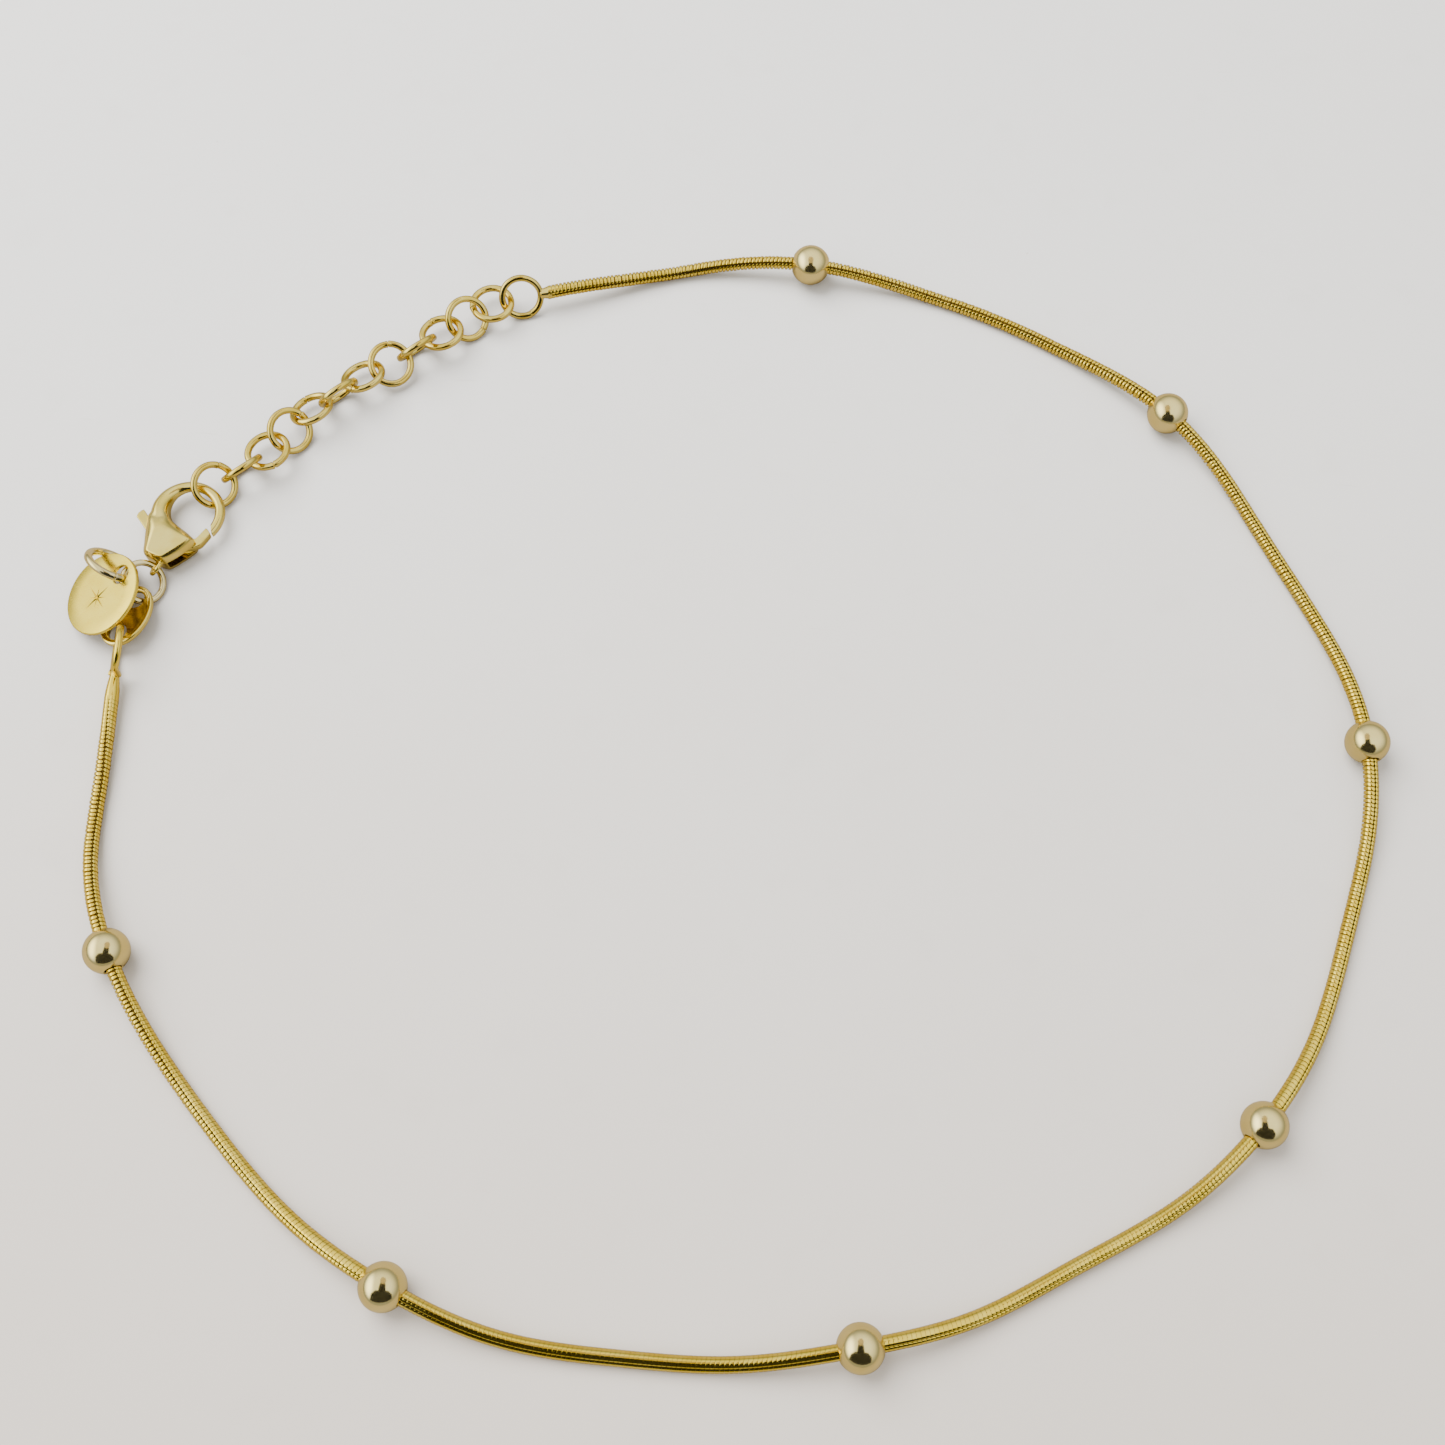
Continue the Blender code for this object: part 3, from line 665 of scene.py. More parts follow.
def chainPath():
    # the chain's middle line as dense points, their lengths along it and the beads' places
    route = np.array([(x, y) for x, y, _ in chainRoute])
    held = [i for i, row in enumerate(chainRoute) if row[2]]
    beads = [nodePoints(f"bead_{k + 1}") for k in range(len(held))]
    centres = np.array([(b.min(0) + b.max(0)) / 2 for b in beads])
    # the solid's route is moved, and stretched a little towards its end, so it is fitted to the beads
    last = len(route) - 1
    first, final = held[0], held[-1]
    missFirst = centres[0][:2] - route[first]
    missFinal = centres[-1][:2] - route[final]
    lean = (missFinal - missFirst) / (final - first)
    route = route + missFirst + np.outer(np.arange(last + 1) - first, lean)
    chords = np.hypot(*np.diff(route, axis=0).T)
    stations = np.concatenate([[0], np.cumsum(chords)])
    fine = np.linspace(0, stations[-1], 9000)
    x = splineThrough(stations, route[:, 0])(fine)
    y = splineThrough(stations, route[:, 1])(fine)

    tube = nodePoints("snake_chain")
    ground = chainLook["tubeRadius"]

    def tubeHeight(place):
        near = np.hypot(*(tube[:, :2] - place).T) < ground * 1.2
        return tube[near, 2].mean()

    lifts = [(0.0, tubeHeight(route[0]))]
    lifts += [(stations[i], chainLook["beadHeight"]) for i in held]
    lifts += [(stations[-1], tubeHeight(route[-1]))]
    z = np.full(len(fine), ground)
    for place, top in lifts:
        t = np.minimum(np.abs(fine - place) / chainLook["rise"], 1)
        z += (top - ground) * (1 - t) ** 2 * (1 + 2 * t)
    points = np.column_stack([x, y, z])
    lengths = np.concatenate([[0], np.cumsum(np.linalg.norm(np.diff(points, axis=0), axis=1))])
    return points, lengths, centres


chainPoints, chainLengths, beadCentres = chainPath()


def onChain(station):
    # point, way along, way out of the loop and way up, at a length along the chain
    station = np.asarray(station, float)
    step = 0.15

    def at(length):
        return np.stack([np.interp(length, chainLengths, chainPoints[:, i]) for i in range(3)], -1)

    # past an end the chain goes straight on
    inside = np.clip(station, step, chainLengths[-1] - step)
    way = at(inside + step) - at(inside - step)
    way /= np.linalg.norm(way, axis=-1, keepdims=True)
    point = at(inside) + (station - inside)[..., None] * way
    outward = np.stack([-way[..., 1], way[..., 0], np.zeros_like(way[..., 0])], -1)
    outward /= np.linalg.norm(outward, axis=-1, keepdims=True)
    return point, way, outward, np.cross(way, outward)


def chainSection(angle, seam):
    # the chain's radius at an angle, a rounded square with a shallow valley at both seams
    turned = np.radians(angle - seam)
    power = chainLook["squareness"]
    square = (np.abs(np.cos(turned)) ** power + np.abs(np.sin(turned)) ** power) ** (-1 / power)
    valley = np.exp(-((np.sin(turned) / chainLook["seamWidth"]) ** 2))
    return chainLook["radius"] * square - chainLook["seamDepth"] * valley


def makeChainPlates(name, side):
    # the plates of one side, from the upper seam over that side to the lower seam
    pitch = chainLook["pitch"]
    total = chainLengths[-1]
    count = int(total / pitch) - 1
    shares, seams, outerGaps, innerGaps = np.array(chainTwist).T
    # a plate's points as shares of its half length along the chain and of its reach round it; the
    # first and the last row along are its sides, which sink into the core
    along = np.array([-1, -1, -0.82, -0.45, 0, 0.45, 0.82, 1, 1])
    across = np.array([-1, -0.93, -0.72, -0.4, 0, 0.4, 0.72, 0.93, 1])
    u, v = np.meshgrid(along, across, indexing="ij")
    sunk = np.array([1, 0, 0, 0, 0, 0, 0, 0, 1])[:, None] > 0
    start = pitch * (0.75 if side > 0 else 0.25)
    middles = start + pitch * np.arange(count)
    rng = np.random.default_rng(7 + side)
    loose = rng.normal(0, chainLook["unevenness"], (count, 2))
    dome = 1 - np.sqrt(1 - (0.95 * u) ** 2)
    points = []
    for k, middle in enumerate(middles):
        share = middle / total
        seam = np.interp(share, shares, seams)
        opened = np.interp(share, shares, outerGaps if side > 0 else innerGaps)
        atLeast = 0.12 + 0.88 * opened      # a closed plate still shows a fine line
        gap = chainLook["gap"] * atLeast
        reach = 1.0 - (0.06 + 0.12 * u**2) * (0.15 + 0.85 * opened)
        angle = seam - side * (90 + 90 * v * reach)
        station = middle + loose[k, 0] * opened + pitch / 2 * (1 - gap) * u
        station = station + chainLook["slant"] * v * side
        radius = chainSection(angle, seam) - chainLook["crown"] * dome * atLeast
        radius = radius + loose[k, 1] * opened * 0.6
        radius = np.where(sunk, chainLook["coreRadius"] - chainLook["sinking"], radius)
        point, way, outward, up = onChain(station)
        turned = np.radians(angle)[..., None]
        points.append(point + radius[..., None] * (np.cos(turned) * outward + np.sin(turned) * up))
    plate = gridFaces(len(along), len(across))
    faces = []
    for first in np.arange(count) * len(along) * len(across):
        for face in plate:
            shifted = tuple(int(first) + corner for corner in face)
            faces.append(shifted if side > 0 else shifted[::-1])
    item = meshObject(name, np.concatenate(points).reshape(-1, 3), faces)
    finishPiece(item, "chainGold", ["snake_chain"], sharp=60)


def makeChainCore():
    # a tube inside the plates, its dark colour painted shade for the gaps between them
    sides = 10
    total = chainLengths[-1]
    stations = np.linspace(0, total, int(total / 0.8))
    angles = circle(sides)[None, :, None]
    point, way, outward, up = onChain(stations)
    ring = np.cos(angles) * outward[:, None] + np.sin(angles) * up[:, None]
    points = (point[:, None] + chainLook["coreRadius"] * ring).reshape(-1, 3)
    faces = [face[::-1] for face in rodFaces(len(stations), sides)]
    finishPiece(meshObject("chainCore", points, faces), "innerGoldPaintedShade", [])


makeChainPlates("chainPlatesOuter", 1)
makeChainPlates("chainPlatesInner", -1)
makeChainCore()
print("snake chain made:", round(chainLengths[-1], 1), "mm")


# Beads: turned balls whose mouths are rolled in a little round the chain
beadLook = {"radius": 1.5, "mouth": 0.56, "roll": 0.06, "throat": 0.35, "steps": 72, "rows": 40}


def makeBead(index, centre):
    radius, mouth, roll = beadLook["radius"], beadLook["mouth"], beadLook["roll"]
    edge = math.asin((mouth + roll) / radius)
    angles = np.linspace(edge, math.pi - edge, beadLook["rows"])
    profile = [(radius * math.cos(a), radius * math.sin(a)) for a in angles]
    # the roll at one mouth, the straight throat and the same roll at the other mouth
    lip = radius * math.cos(edge)
    rolled = []
    for turn in (30, 60, 90):
        a = math.radians(turn)
        rolled.append((-lip + roll * math.sin(a) * 0.8, mouth + roll * math.cos(a)))
    inside = lip - beadLook["throat"]
    profile += rolled + [(-inside, mouth), (inside, mouth)] + [(-x, out) for x, out in reversed(rolled)]
    nearest = np.argmin(np.linalg.norm(chainPoints - centre, axis=1))
    way = onChain(chainLengths[nearest])[1]
    one, two = flatAxes(way, (0, 0, 1))
    points = [
        centre + along * way + out * (math.cos(t) * one + math.sin(t) * two)
        for along, out in profile for t in circle(beadLook["steps"])
    ]
    faces = hoopFaces(len(profile), beadLook["steps"])
    item = meshObject(f"polishedBead{index}", points, faces)
    finishPiece(item, "beadGold", [f"bead_{index}"], sharp=50)


for index, centre in enumerate(beadCentres, 1):
    makeBead(index, centre)
print("beads made:", len(beadCentres))


# Rings of round wire, a little uneven, each with the mark of its closed joint
wireLook = {
    "steps": 96,
    "sides": 20,
    "squareness": 2.35,     # 2 is round wire, more is flatter on four sides
    "mark": 0.05,           # half the width of the joint's mark
    "miss": 0.02,           # how far the wire's two ends miss each other
    "swelling": 0.07,       # of the wire beside the joint
}


def wireRing(name, centre, normal, outer, wire, joint, seed, uneven=0.012, groove=0.45):
    chance = random.Random(seed)
    one, two = flatAxes(normal)
    radius = (outer - wire) / 2
    mark = wireLook["mark"] / radius
    turns = circle(wireLook["steps"])
    near = np.array([-6, -3.5, -2, -1.2, -0.6, 0, 0.6, 1.2, 2, 3.5, 6]) * mark
    joint = math.radians(joint)
    clear = np.abs((turns - joint + np.pi) % (2 * np.pi) - np.pi) > 7 * mark
    turns = np.sort(np.concatenate([turns[clear], (joint + near) % (2 * np.pi)]))
    away = (turns - joint + np.pi) % (2 * np.pi) - np.pi
    wobble = sum(
        chance.uniform(-1, 1) * np.cos(k * turns + chance.uniform(0, 6.28)) / k for k in (2, 3, 4, 5)
    )
    thick = sum(
        chance.uniform(-1, 1) * np.cos(k * turns + chance.uniform(0, 6.28)) for k in (3, 5, 7)
    )
    miss = wireLook["miss"] * np.sign(away) * np.exp(-np.abs(away) / (4 * mark))
    ringRadius = radius * (1 + uneven * wobble) - miss
    cleft = groove * np.exp(-((away / (0.55 * mark)) ** 2))
    swelling = wireLook["swelling"] * np.exp(-((away / (3 * mark)) ** 2))
    wireRadius = wire / 2 * (1 + uneven * thick - cleft + swelling)
    angles = circle(wireLook["sides"])
    power = wireLook["squareness"]
    square = (np.abs(np.cos(angles)) ** power + np.abs(np.sin(angles)) ** power) ** (-1 / power)
    radial = np.cos(turns)[:, None, None] * one + np.sin(turns)[:, None, None] * two
    section = square[None, :, None] * wireRadius[:, None, None]
    points = centre + ringRadius[:, None, None] * radial
    points = points + section * (
        np.cos(angles)[None, :, None] * radial + np.sin(angles)[None, :, None] * unit(normal)
    )
    return meshObject(name, points.reshape(-1, 3), hoopFaces(len(turns), len(angles)))


linkLook = {"outer": 3.45, "wire": 0.5, "cupRadius": 0.48, "cupRoot": 0.34, "endJoint": 300}
# where each link's joint lies, counted round its normal from the X side
linkJoints = [200, 330, 130, 20, 100, 250, 355, 120, 60, 300, 150, 80]


def makeLinks():
    outer, wire = linkLook["outer"], linkLook["wire"]
    for index, joint in enumerate(linkJoints, 1):
        node = f"extender_link_{index:02d}"
        centre, normal = fitRing(node, outer, wire)
        item = wireRing(f"roundLink{index}", centre, normal, outer, wire, joint, index)
        finishPiece(item, "linkGold", [node])


def taperedRod(start, end, startRadius, endRadius, bulge=0.0):
    # a smooth cone of round section, with a hump in its middle if asked
    way = unit(end - start)
    one, two = flatAxes(way, (0.3, 0.2, 1))
    rows, sides = 14, 24
    points = []
    for r in range(rows):
        t = r / (rows - 1)
        ease = t * t * (3 - 2 * t)
        radius = startRadius + (endRadius - startRadius) * ease + bulge * math.sin(math.pi * t)
        centre = start + (end - start) * t
        for a in circle(sides):
            points.append(centre + radius * (math.cos(a) * one + math.sin(a) * two))
    return meshObject("rod", points, rodFaces(rows, sides))


def makeExtenderEnd():
    # the small ring that ends the chain, soldered to it with a short cup
    outer, wire = linkLook["outer"], linkLook["wire"]
    centre, normal = fitRing("extender_end_ring", outer, wire)
    ring = wireRing("extenderEndRing", centre, normal, outer, wire, linkLook["endJoint"], 40)
    chainStart = chainPoints[0]
    way = unit(chainStart - centre)
    inPlane = unit(way - way.dot(normal) * normal)
    root = centre + inPlane * (outer - wire) / 2
    mouth = chainStart + 0.3 * unit(chainStart - root)
    cup = taperedRod(root, mouth, linkLook["cupRoot"], linkLook["cupRadius"], 0.02)
    item = melted(joined([ring, cup]))
    finishPiece(item, "linkGold", ["extender_end_ring"])


makeLinks()
makeExtenderEnd()
print("extender made:", len(linkJoints), "links")


# Jump rings and the ring at the chain's other end
jumpRingLook = {
    "claspRing": {"node": "clasp_jump_ring", "outer": 3.25, "wire": 0.46, "joint": 215, "seed": 51},
    "tagRing": {"node": "tag_jump_ring", "outer": 3.82, "wire": 0.54, "joint": 300, "seed": 52},
    "uneven": 0.006,
    "groove": 0.6,
}
endRingLook = {
    "outer": 3.7,
    "wire": 0.5,
    "legSpread": 34,
    "sleeve": 1.35,
    "sleeveRadius": 0.475,
    "sleeveTopRadius": 0.3,
    "underPlates": 0.7,     # how far the sleeve reaches in under the chain's plates
    "tipGap": 0.16,
    "tipShift": 0.21,
}


def makeJumpRings():
    uneven, groove = jumpRingLook["uneven"], jumpRingLook["groove"]
    for name in ("claspRing", "tagRing"):
        look = jumpRingLook[name]
        outer, wire = look["outer"], look["wire"]
        centre, normal = fitRing(look["node"], outer, wire)
        item = wireRing(name, centre, normal, outer, wire, look["joint"], look["seed"], uneven, groove)
        finishPiece(item, "paleGold", [look["node"]])


def wireLoop(name, points, normal, radius, sides=20):
    # round wire along a flat closed line
    points = np.asarray(points)
    ahead = np.roll(points, -1, 0) - np.roll(points, 1, 0)
    ahead /= np.linalg.norm(ahead, axis=1, keepdims=True)
    aside = np.cross(ahead, normal)
    angles = circle(sides)[None, :, None]
    surface = points[:, None] + radius * (np.cos(angles) * aside[:, None] + np.sin(angles) * normal)
    return meshObject(name, surface.reshape(-1, 3), hoopFaces(len(points), sides))


def makeChainEndRing():
    # a pear-shaped loop of wire whose two legs run together into a sleeve on the chain's end
    look = endRingLook
    wire = look["wire"]
    radius = (look["outer"] - wire) / 2
    centre, normal = fitRing("chain_end_ring", look["outer"], wire)
    chainEnd = chainPoints[-1]
    chainWay = onChain(chainLengths[-1])[1]
    sleeveTop = chainEnd + look["sleeve"] * chainWay
    way = unit(chainEnd - centre)
    inPlane = unit(way - way.dot(normal) * normal)
    across = np.cross(normal, inPlane)
    spread = math.radians(look["legSpread"])
    turns = np.linspace(spread, 2 * math.pi - spread, 60)
    arc = [centre + radius * (math.cos(t) * inPlane + math.sin(t) * across) for t in turns]
    # the upper leg comes down on the right of the lower one
    shift = look["tipShift"] * normal * np.sign(normal[0]) * np.sign(across[2])
    tip = look["tipGap"] * across + shift
    tips = [sleeveTop - tip, sleeveTop + tip]
    shares = np.linspace(0, 1, 14)[1:-1]
    leave = [arc[-1] + (tips[0] - arc[-1]) * s for s in shares]
    arrive = [tips[1] + (arc[0] - tips[1]) * s for s in shares]
    points = arc + leave + tips + arrive
    loop = wireLoop("chainEndRing", points, normal, wire / 2)
    top = sleeveTop + 0.2 * chainWay
    under = chainEnd - look["underPlates"] * chainWay
    sleeve = taperedRod(top, under, look["sleeveTopRadius"], look["sleeveRadius"], 0.05)
    item = melted(joined([loop, sleeve]))
    finishPiece(item, "chainGold", ["chain_end_ring"])


makeJumpRings()
makeChainEndRing()
print("rings made")


# Clasp: its frame has X across it, Y from base to hook and Z up, and hangs on the lever's pivot
claspLook = {
    "heading": -22.5,
    "thickness": 2.2,
    "bodyWidth": 4.3,
    "bodyLength": 4.1,
    "hookOuter": 5.32,
    "hookWire": 0.74,
    "rootWire": 1.42,
    "rootHeight": 1.75,
    "hookSpan": (222, -16),
    "hookCentre": (-0.035, 1.16),   # as shares of the body's width and length, as is the pivot
    "neck": (-1.7, 3.6),            # where the hook's root is smoothed into the body
    "neckReach": (1.1, 2.1),
    "pivot": (-0.07, 0.634),
    "gateReach": 2.98,
    "gateSwing": (5, 66),
    "gateClearance": 1.0,
    "leverReach": 2.86,
    "leverThickness": 0.6,
    "leverEdge": 0.07,
    "slotThickness": 0.72,
    "lugOuter": 1.4,
    "lugWire": 0.32,
    "lugTilt": 38,
    "lugPlace": (0.09, -0.37),      # from the clasp's middle, and from the body's base
}
# the body's edge (x, y) and its flat face above that (x, y), as shares of its width and length
claspOutline = [
    (-0.588, 0.866, -0.284, 0.622),
    (-0.486, 0.585, -0.267, 0.537),
    (-0.358, 0.324, -0.214, 0.329),
    (-0.228, 0.122, -0.158, 0.171),
    (0.105, 0.122, 0.077, 0.171),
    (0.207, 0.195, 0.14, 0.232),
    (0.34, 0.456, 0.26, 0.476),
    (0.405, 0.707, 0.337, 0.659),
    (0.235, 0.795, 0.209, 0.676),
    (0.03, 0.846, 0.023, 0.676),
    (-0.186, 0.912, -0.179, 0.676),
    (-0.323, 0.998, -0.244, 0.663),
]
leverOutline = [
    (-0.772, 0.795), (-0.758, 0.715), (-0.716, 0.69), (-0.449, 0.539), (-0.209, 0.427),
    (0.07, 0.415), (0.279, 0.488), (0.477, 0.707), (0.54, 0.985), (0.4, 1.04),
    (0.342, 0.78), (0.14, 0.727), (-0.35, 0.735), (-0.5, 0.756), (-0.719, 0.888),
]
slotOutline = [
    (-0.88, 0.305), (0.04, 0.305), (0.1, 0.16), (0.74, 0.16), (0.74, 0.805), (-0.081, 0.951),
    (-0.081, 0.78), (-0.442, 0.78), (-0.88, 1.04),
]
# how the edge rises to the face: share of the way in, and share of half the thickness
claspShoulder = [
    (0, 0), (0, 0.3), (0.05, 0.46), (0.2, 0.63), (0.5, 0.82), (0.82, 0.95), (1, 0.985), (1.06, 1),
]
claspMiddle = claspLook["thickness"] / 2


def onClasp(x, y):
    # shares of the body's width and length as millimetres
    return x * claspLook["bodyWidth"], y * claspLook["bodyLength"]


pivotInClasp = Vector((*onClasp(*claspLook["pivot"]), claspMiddle))
claspTurn = Matrix.Rotation(math.radians(claspLook["heading"]), 4, "Z")
pivotPlace = Vector(frame["joints"][0]["pos_m"]) / mm
claspFrame = Matrix.Translation(pivotPlace - claspTurn @ pivotInClasp) @ claspTurn


def roundedLoop(points, cuts, tension=0.5):
    # a closed smooth line through the points
    points = np.asarray(points, float)
    count = len(points)
    line = []
    for i in range(count):
        before, here, after, beyond = (points[(i + k) % count] for k in (-1, 0, 1, 2))
        leave = tension * (after - before)
        arrive = tension * (beyond - here)
        for t in np.arange(cuts) / cuts:
            line.append(
                (2 * t**3 - 3 * t**2 + 1) * here + (t**3 - 2 * t**2 + t) * leave
                + (3 * t**2 - 2 * t**3) * after + (t**3 - t**2) * arrive
            )
    return np.array(line)


def extruded(name, outline, thickness, middle, bevel=0.0):
    # a plate of the outline's shape round a height
    curve = bpy.data.curves.new(name, "CURVE")
    curve.dimensions = "2D"
    curve.fill_mode = "BOTH"
    curve.extrude = thickness / 2 - bevel
    curve.bevel_depth = bevel
    curve.bevel_resolution = 3
    curve.offset = -bevel
    spline = curve.splines.new("POLY")
    spline.points.add(len(outline) - 1)
    for point, place in zip(spline.points, outline):
        point.co = (place[0], place[1], 0, 1)
    spline.use_cyclic_u = True
    item = newObject(name, curve)
    bpy.context.view_layer.update()
    graph = bpy.context.evaluated_depsgraph_get()
    mesh = bpy.data.meshes.new_from_object(item.evaluated_get(graph))
    bpy.data.objects.remove(item)
    mended(mesh, 0.001)
    mesh.transform(Matrix.Translation((0, 0, middle)))
    return newObject(name, mesh)


def claspShell():
    # the body's outline swept up a rounded shoulder to its flat faces, above and below
    cuts = 8
    size = onClasp(1, 1)
    edge = roundedLoop([row[:2] for row in claspOutline], cuts, 0.42) * size
    face = roundedLoop([row[2:] for row in claspOutline], cuts, 0.3) * size
    middle = face.mean(0)
    levels = [(inset, -height) for inset, height in reversed(claspShoulder)] + claspShoulder[1:]
    points = []
    for inset, height in levels:
        ring = edge + (face - edge) * min(inset, 1) + (middle - face) * max(inset - 1, 0)
        points += [(x, y, claspMiddle + height * claspMiddle) for x, y in ring]
    return meshObject("claspShell", points, rodFaces(len(levels), len(edge)))


def claspHook():
    # the hook's wire thickens into the body and is rounded off at its free end
    look = claspLook
    start, end = look["hookSpan"]
    centreX, centreY = onClasp(*look["hookCentre"])
    rows, sides = 72, 24
    points = []
    for k in range(rows):
        share = k / (rows - 1)
        angle = math.radians(start + (end - start) * share)
        taper = max(1 - share / 0.5, 0)
        ease = taper * taper * (3 - 2 * taper)
        wire = look["hookWire"] + (look["rootWire"] - look["hookWire"]) * ease
        height = look["hookWire"] + (look["rootHeight"] - look["hookWire"]) * ease**1.3
        radius = (look["hookOuter"] - wire) / 2
        for a in circle(sides):
            reach = radius + wire / 2 * math.cos(a)
            points.append((
                centreX + reach * math.cos(angle), centreY + reach * math.sin(angle),
                claspMiddle + height / 2 * math.sin(a),
            ))
    return meshObject("claspHook", points, rodFaces(rows, sides))


def claspLug():
    tilt = math.radians(claspLook["lugTilt"])
    x, y = claspLook["lugPlace"]
    base = onClasp(*claspOutline[3][:2])[1]
    centre = np.array((x, base + y, claspMiddle))
    normal = (math.cos(tilt), 0, -math.sin(tilt))
    outer, wire = claspLook["lugOuter"], claspLook["lugWire"]
    return wireRing("claspLug", centre, normal, outer, wire, joint=90, seed=60, uneven=0, groove=0)


def makeClaspBody():
    look = claspLook
    body = melted(joined([claspShell(), claspHook(), claspLug()]), voxel=0.045, rounds=6)
    blended(body, (*look["neck"], claspMiddle), *look["neckReach"], 60)
    # the swing of the gate clears only the hook's free end, beyond the body
    pivot, reach = pivotInClasp, look["gateReach"]
    sweep = [(pivot.x, pivot.y)]
    for angle in range(*look["gateSwing"], 3):
        turn = math.radians(angle)
        sweep.append((pivot.x + reach * math.cos(turn), pivot.y + reach * math.sin(turn)))
    clearance = extruded("gateSwing", sweep, look["gateClearance"], claspMiddle)
    freeEnd = [(0.9, 2.6), (4, 2.6), (4, 8), (0.9, 8)]
    cut(clearance, extruded("freeEnd", freeEnd, 3.0, claspMiddle), "INTERSECT")
    cut(body, clearance)
    slot = [onClasp(x, y) for x, y in slotOutline]
    cut(body, extruded("leverSlot", slot, look["slotThickness"], claspMiddle))
    body.name = "claspBody"
    body.data.transform(claspFrame)
    finishPiece(body, "claspGold", ["clasp_body"], sharp=38)


def makeLever():
    # thumb piece, arm and gate in one flat plate with softened edges
    look = claspLook
    pivot = pivotInClasp.to_2d()
    points = []
    for x, y in leverOutline:
        place = Vector(onClasp(x, y)) - pivot
        if place.x > 0 and place.length > look["leverReach"]:
            place = place.normalized() * look["leverReach"]
        points.append((place + pivot)[:])
    outline = roundedLoop(points, 5, 0.22)
    lever = extruded("claspLever", outline, look["leverThickness"], claspMiddle, look["leverEdge"])
    lever.data.transform(claspFrame)
    finishPiece(lever, "claspGold", ["clasp_lever"], body="lever", sharp=38)


makeClaspBody()
makeLever()
print("clasp made")


# Flat pieces: their planes come from their nodes
def plateFrame(node, holeWithin=None):
    # matrix of a thin node: X on its long way, or towards its hole if the points nearer the middle
    # than a radius are those of the hole; Z on its upper face's normal
    points = nodePoints(node)
    middle = points.mean(0)
    axes = np.linalg.svd(points - middle)[2]
    normal = axes[2] if axes[2][2] > 0 else -axes[2]
    one, two = flatAxes(normal, axes[0])
    for _ in range(3):
        x, y, z = ((points - middle) @ axis for axis in (one, two, normal))
        middle = middle + (x.min() + x.max()) / 2 * one + (y.min() + y.max()) / 2 * two
        middle = middle + (z.min() + z.max()) / 2 * normal
    if holeWithin:
        reach = np.hypot((points - middle) @ one, (points - middle) @ two)
        hole = points[reach < holeWithin].mean(0) - middle
        one, two = flatAxes(normal, hole)
    return Matrix((
        (one[0], two[0], normal[0], middle[0]), (one[1], two[1], normal[1], middle[1]),
        (one[2], two[2], normal[2], middle[2]), (0, 0, 0, 1),
    ))


def lathed(name, profile, length, width, sides=128, place=0.0):
    # a round or oval solid: each profile point is an inset from the edge and a height
    points = []
    for inset, height in profile:
        for a in circle(sides):
            x = (length / 2 - inset) * math.cos(a)
            y = (width / 2 - inset) * math.sin(a)
            points.append((place + x, y, height))
    return meshObject(name, points, rodFaces(len(profile), sides))


def drill(name, place, hole, thickness):
    # a drill with a small countersink at both faces
    half = thickness / 2
    edge = 0.05
    profile = [
        (-edge, -3 * half), (-edge, -half - 0.001), (0, -half + edge),
        (0, half - edge), (-edge, half + 0.001), (-edge, 3 * half),
    ]
    return lathed(name, profile, hole, hole, 64, place)


tagLook = {
    "diameter": 6.2,
    "thickness": 0.3,
    "edge": 0.08,
    "hole": 1.4,
    "holeMargin": 0.48,
    "rays": 4,
    "rayLength": 1.35,
    "shortRay": 0.62,       # share of the length
    "rayWidth": 0.09,
    "rayDepth": 0.09,
    "starShift": 0.45,      # of the star's middle away from the hole
}


def roundedEdge(thickness, soft, depth=1.0):
    # a plate's edge from its lower to its upper face, with a little of both faces
    half = thickness / 2
    steps = [math.radians(a) for a in (90, 67, 45, 22, 0)]
    lower = [(soft * (1 - math.cos(a)), -half + soft * (1 - math.sin(a))) for a in steps]
    upper = [(inset, -height) for inset, height in reversed(lower)]
    return [(depth, -half)] + lower + upper + [(depth, half)]


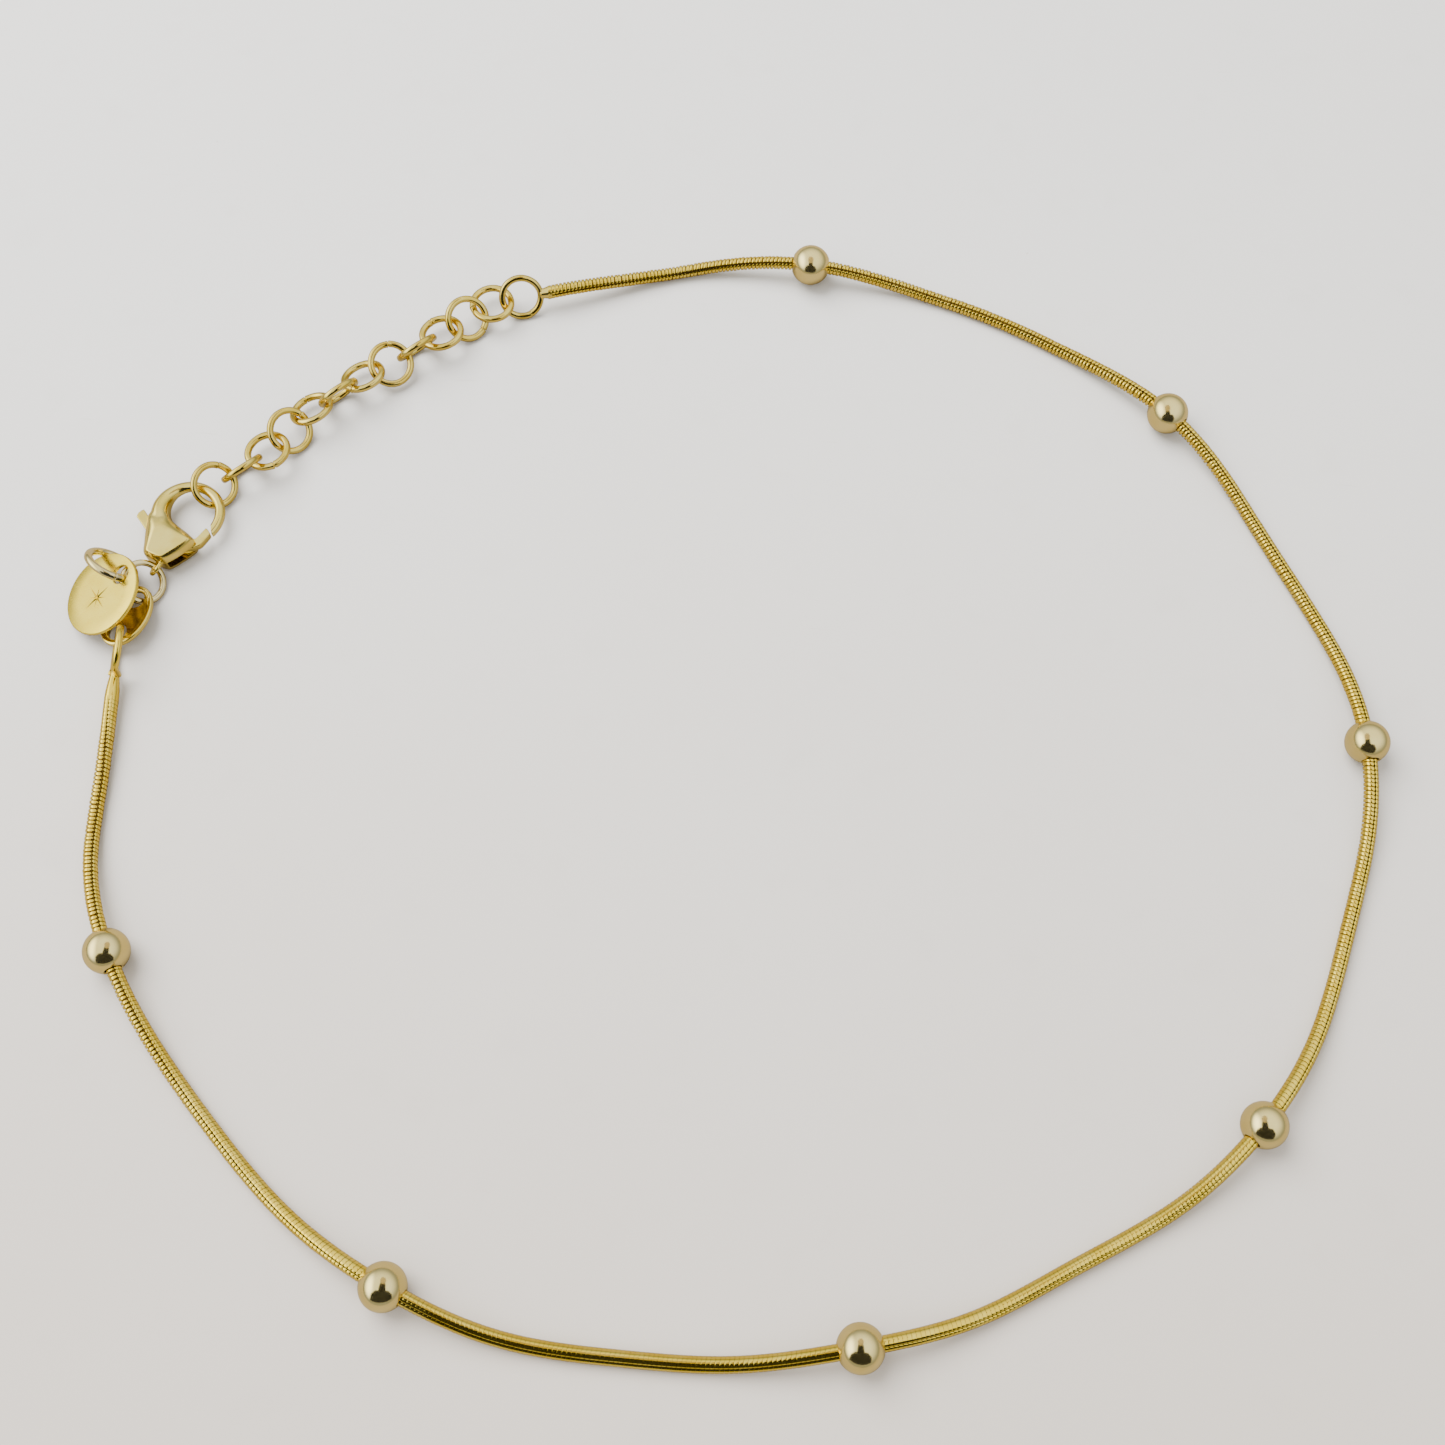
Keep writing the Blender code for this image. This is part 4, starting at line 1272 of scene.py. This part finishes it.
def starRay(reach, turn):
    # a cutter for one line of the star, deepest in the middle
    look = tagLook
    wide, deep = look["rayWidth"], look["thickness"] / 2 - look["rayDepth"]
    top = look["thickness"] / 2 + 0.01
    corners = [(-reach, 0, top), (0, -wide, top), (reach, 0, top), (0, wide, top), (0, 0, deep)]
    turned = Matrix.Rotation(turn, 3, "Z")
    points = [(turned @ Vector(p) - Vector((look["starShift"], 0, 0)))[:] for p in corners]
    faces = [(0, 1, 2, 3), (1, 0, 4), (2, 1, 4), (3, 2, 4), (0, 3, 4)]
    ray = meshObject("ray", points, faces)
    mended(ray.data)
    return ray


def makeTag():
    look = tagLook
    across, thickness, hole = look["diameter"], look["thickness"], look["hole"]
    tag = lathed("roundTag", roundedEdge(thickness, look["edge"]), across, across)
    cut(tag, drill("tagDrill", (across - hole) / 2 - look["holeMargin"], hole, thickness))
    # a plain star of fine lines, cut in the upper face
    for k in range(look["rays"]):
        reach = look["rayLength"] if k % 2 == 0 else look["rayLength"] * look["shortRay"]
        cut(tag, starRay(reach, math.pi * k / look["rays"]))
    tag.data.transform(plateFrame("round_tag", across / 2 - 0.1))
    finishPiece(tag, "tagGold", ["round_tag"], sharp=30)


connectorLook = {
    "length": 4.9,
    "width": 3.44,
    "thickness": 0.4,
    "edge": 0.12,
    "hole": 1.34,
    "holeMargin": 0.43,
    "rim": 0.42,
    "recess": 0.14,
}


def makeConnector():
    # a plate whose upper face is sunk inside a raised rim
    look = connectorLook
    half = look["thickness"] / 2
    rim, floor = look["rim"], half - look["recess"]
    profile = roundedEdge(look["thickness"], look["edge"])[:-1]
    profile += [(rim * 0.55, half), (rim * 0.8, half - 0.02), (rim, half - 0.07)]
    profile += [(rim + 0.05, floor), (1.2, floor)]
    plate = lathed("ovalConnector", profile, look["length"], look["width"])
    offset = (look["length"] - look["hole"]) / 2 - look["holeMargin"]
    for side in (1, -1):
        cut(plate, drill("connectorDrill", side * offset, look["hole"], look["thickness"]))
    plate.data.transform(plateFrame("oval_connector"))
    finishPiece(plate, "claspGold", ["oval_connector"], sharp=30)


makeTag()
makeConnector()
print("tag and connector made")
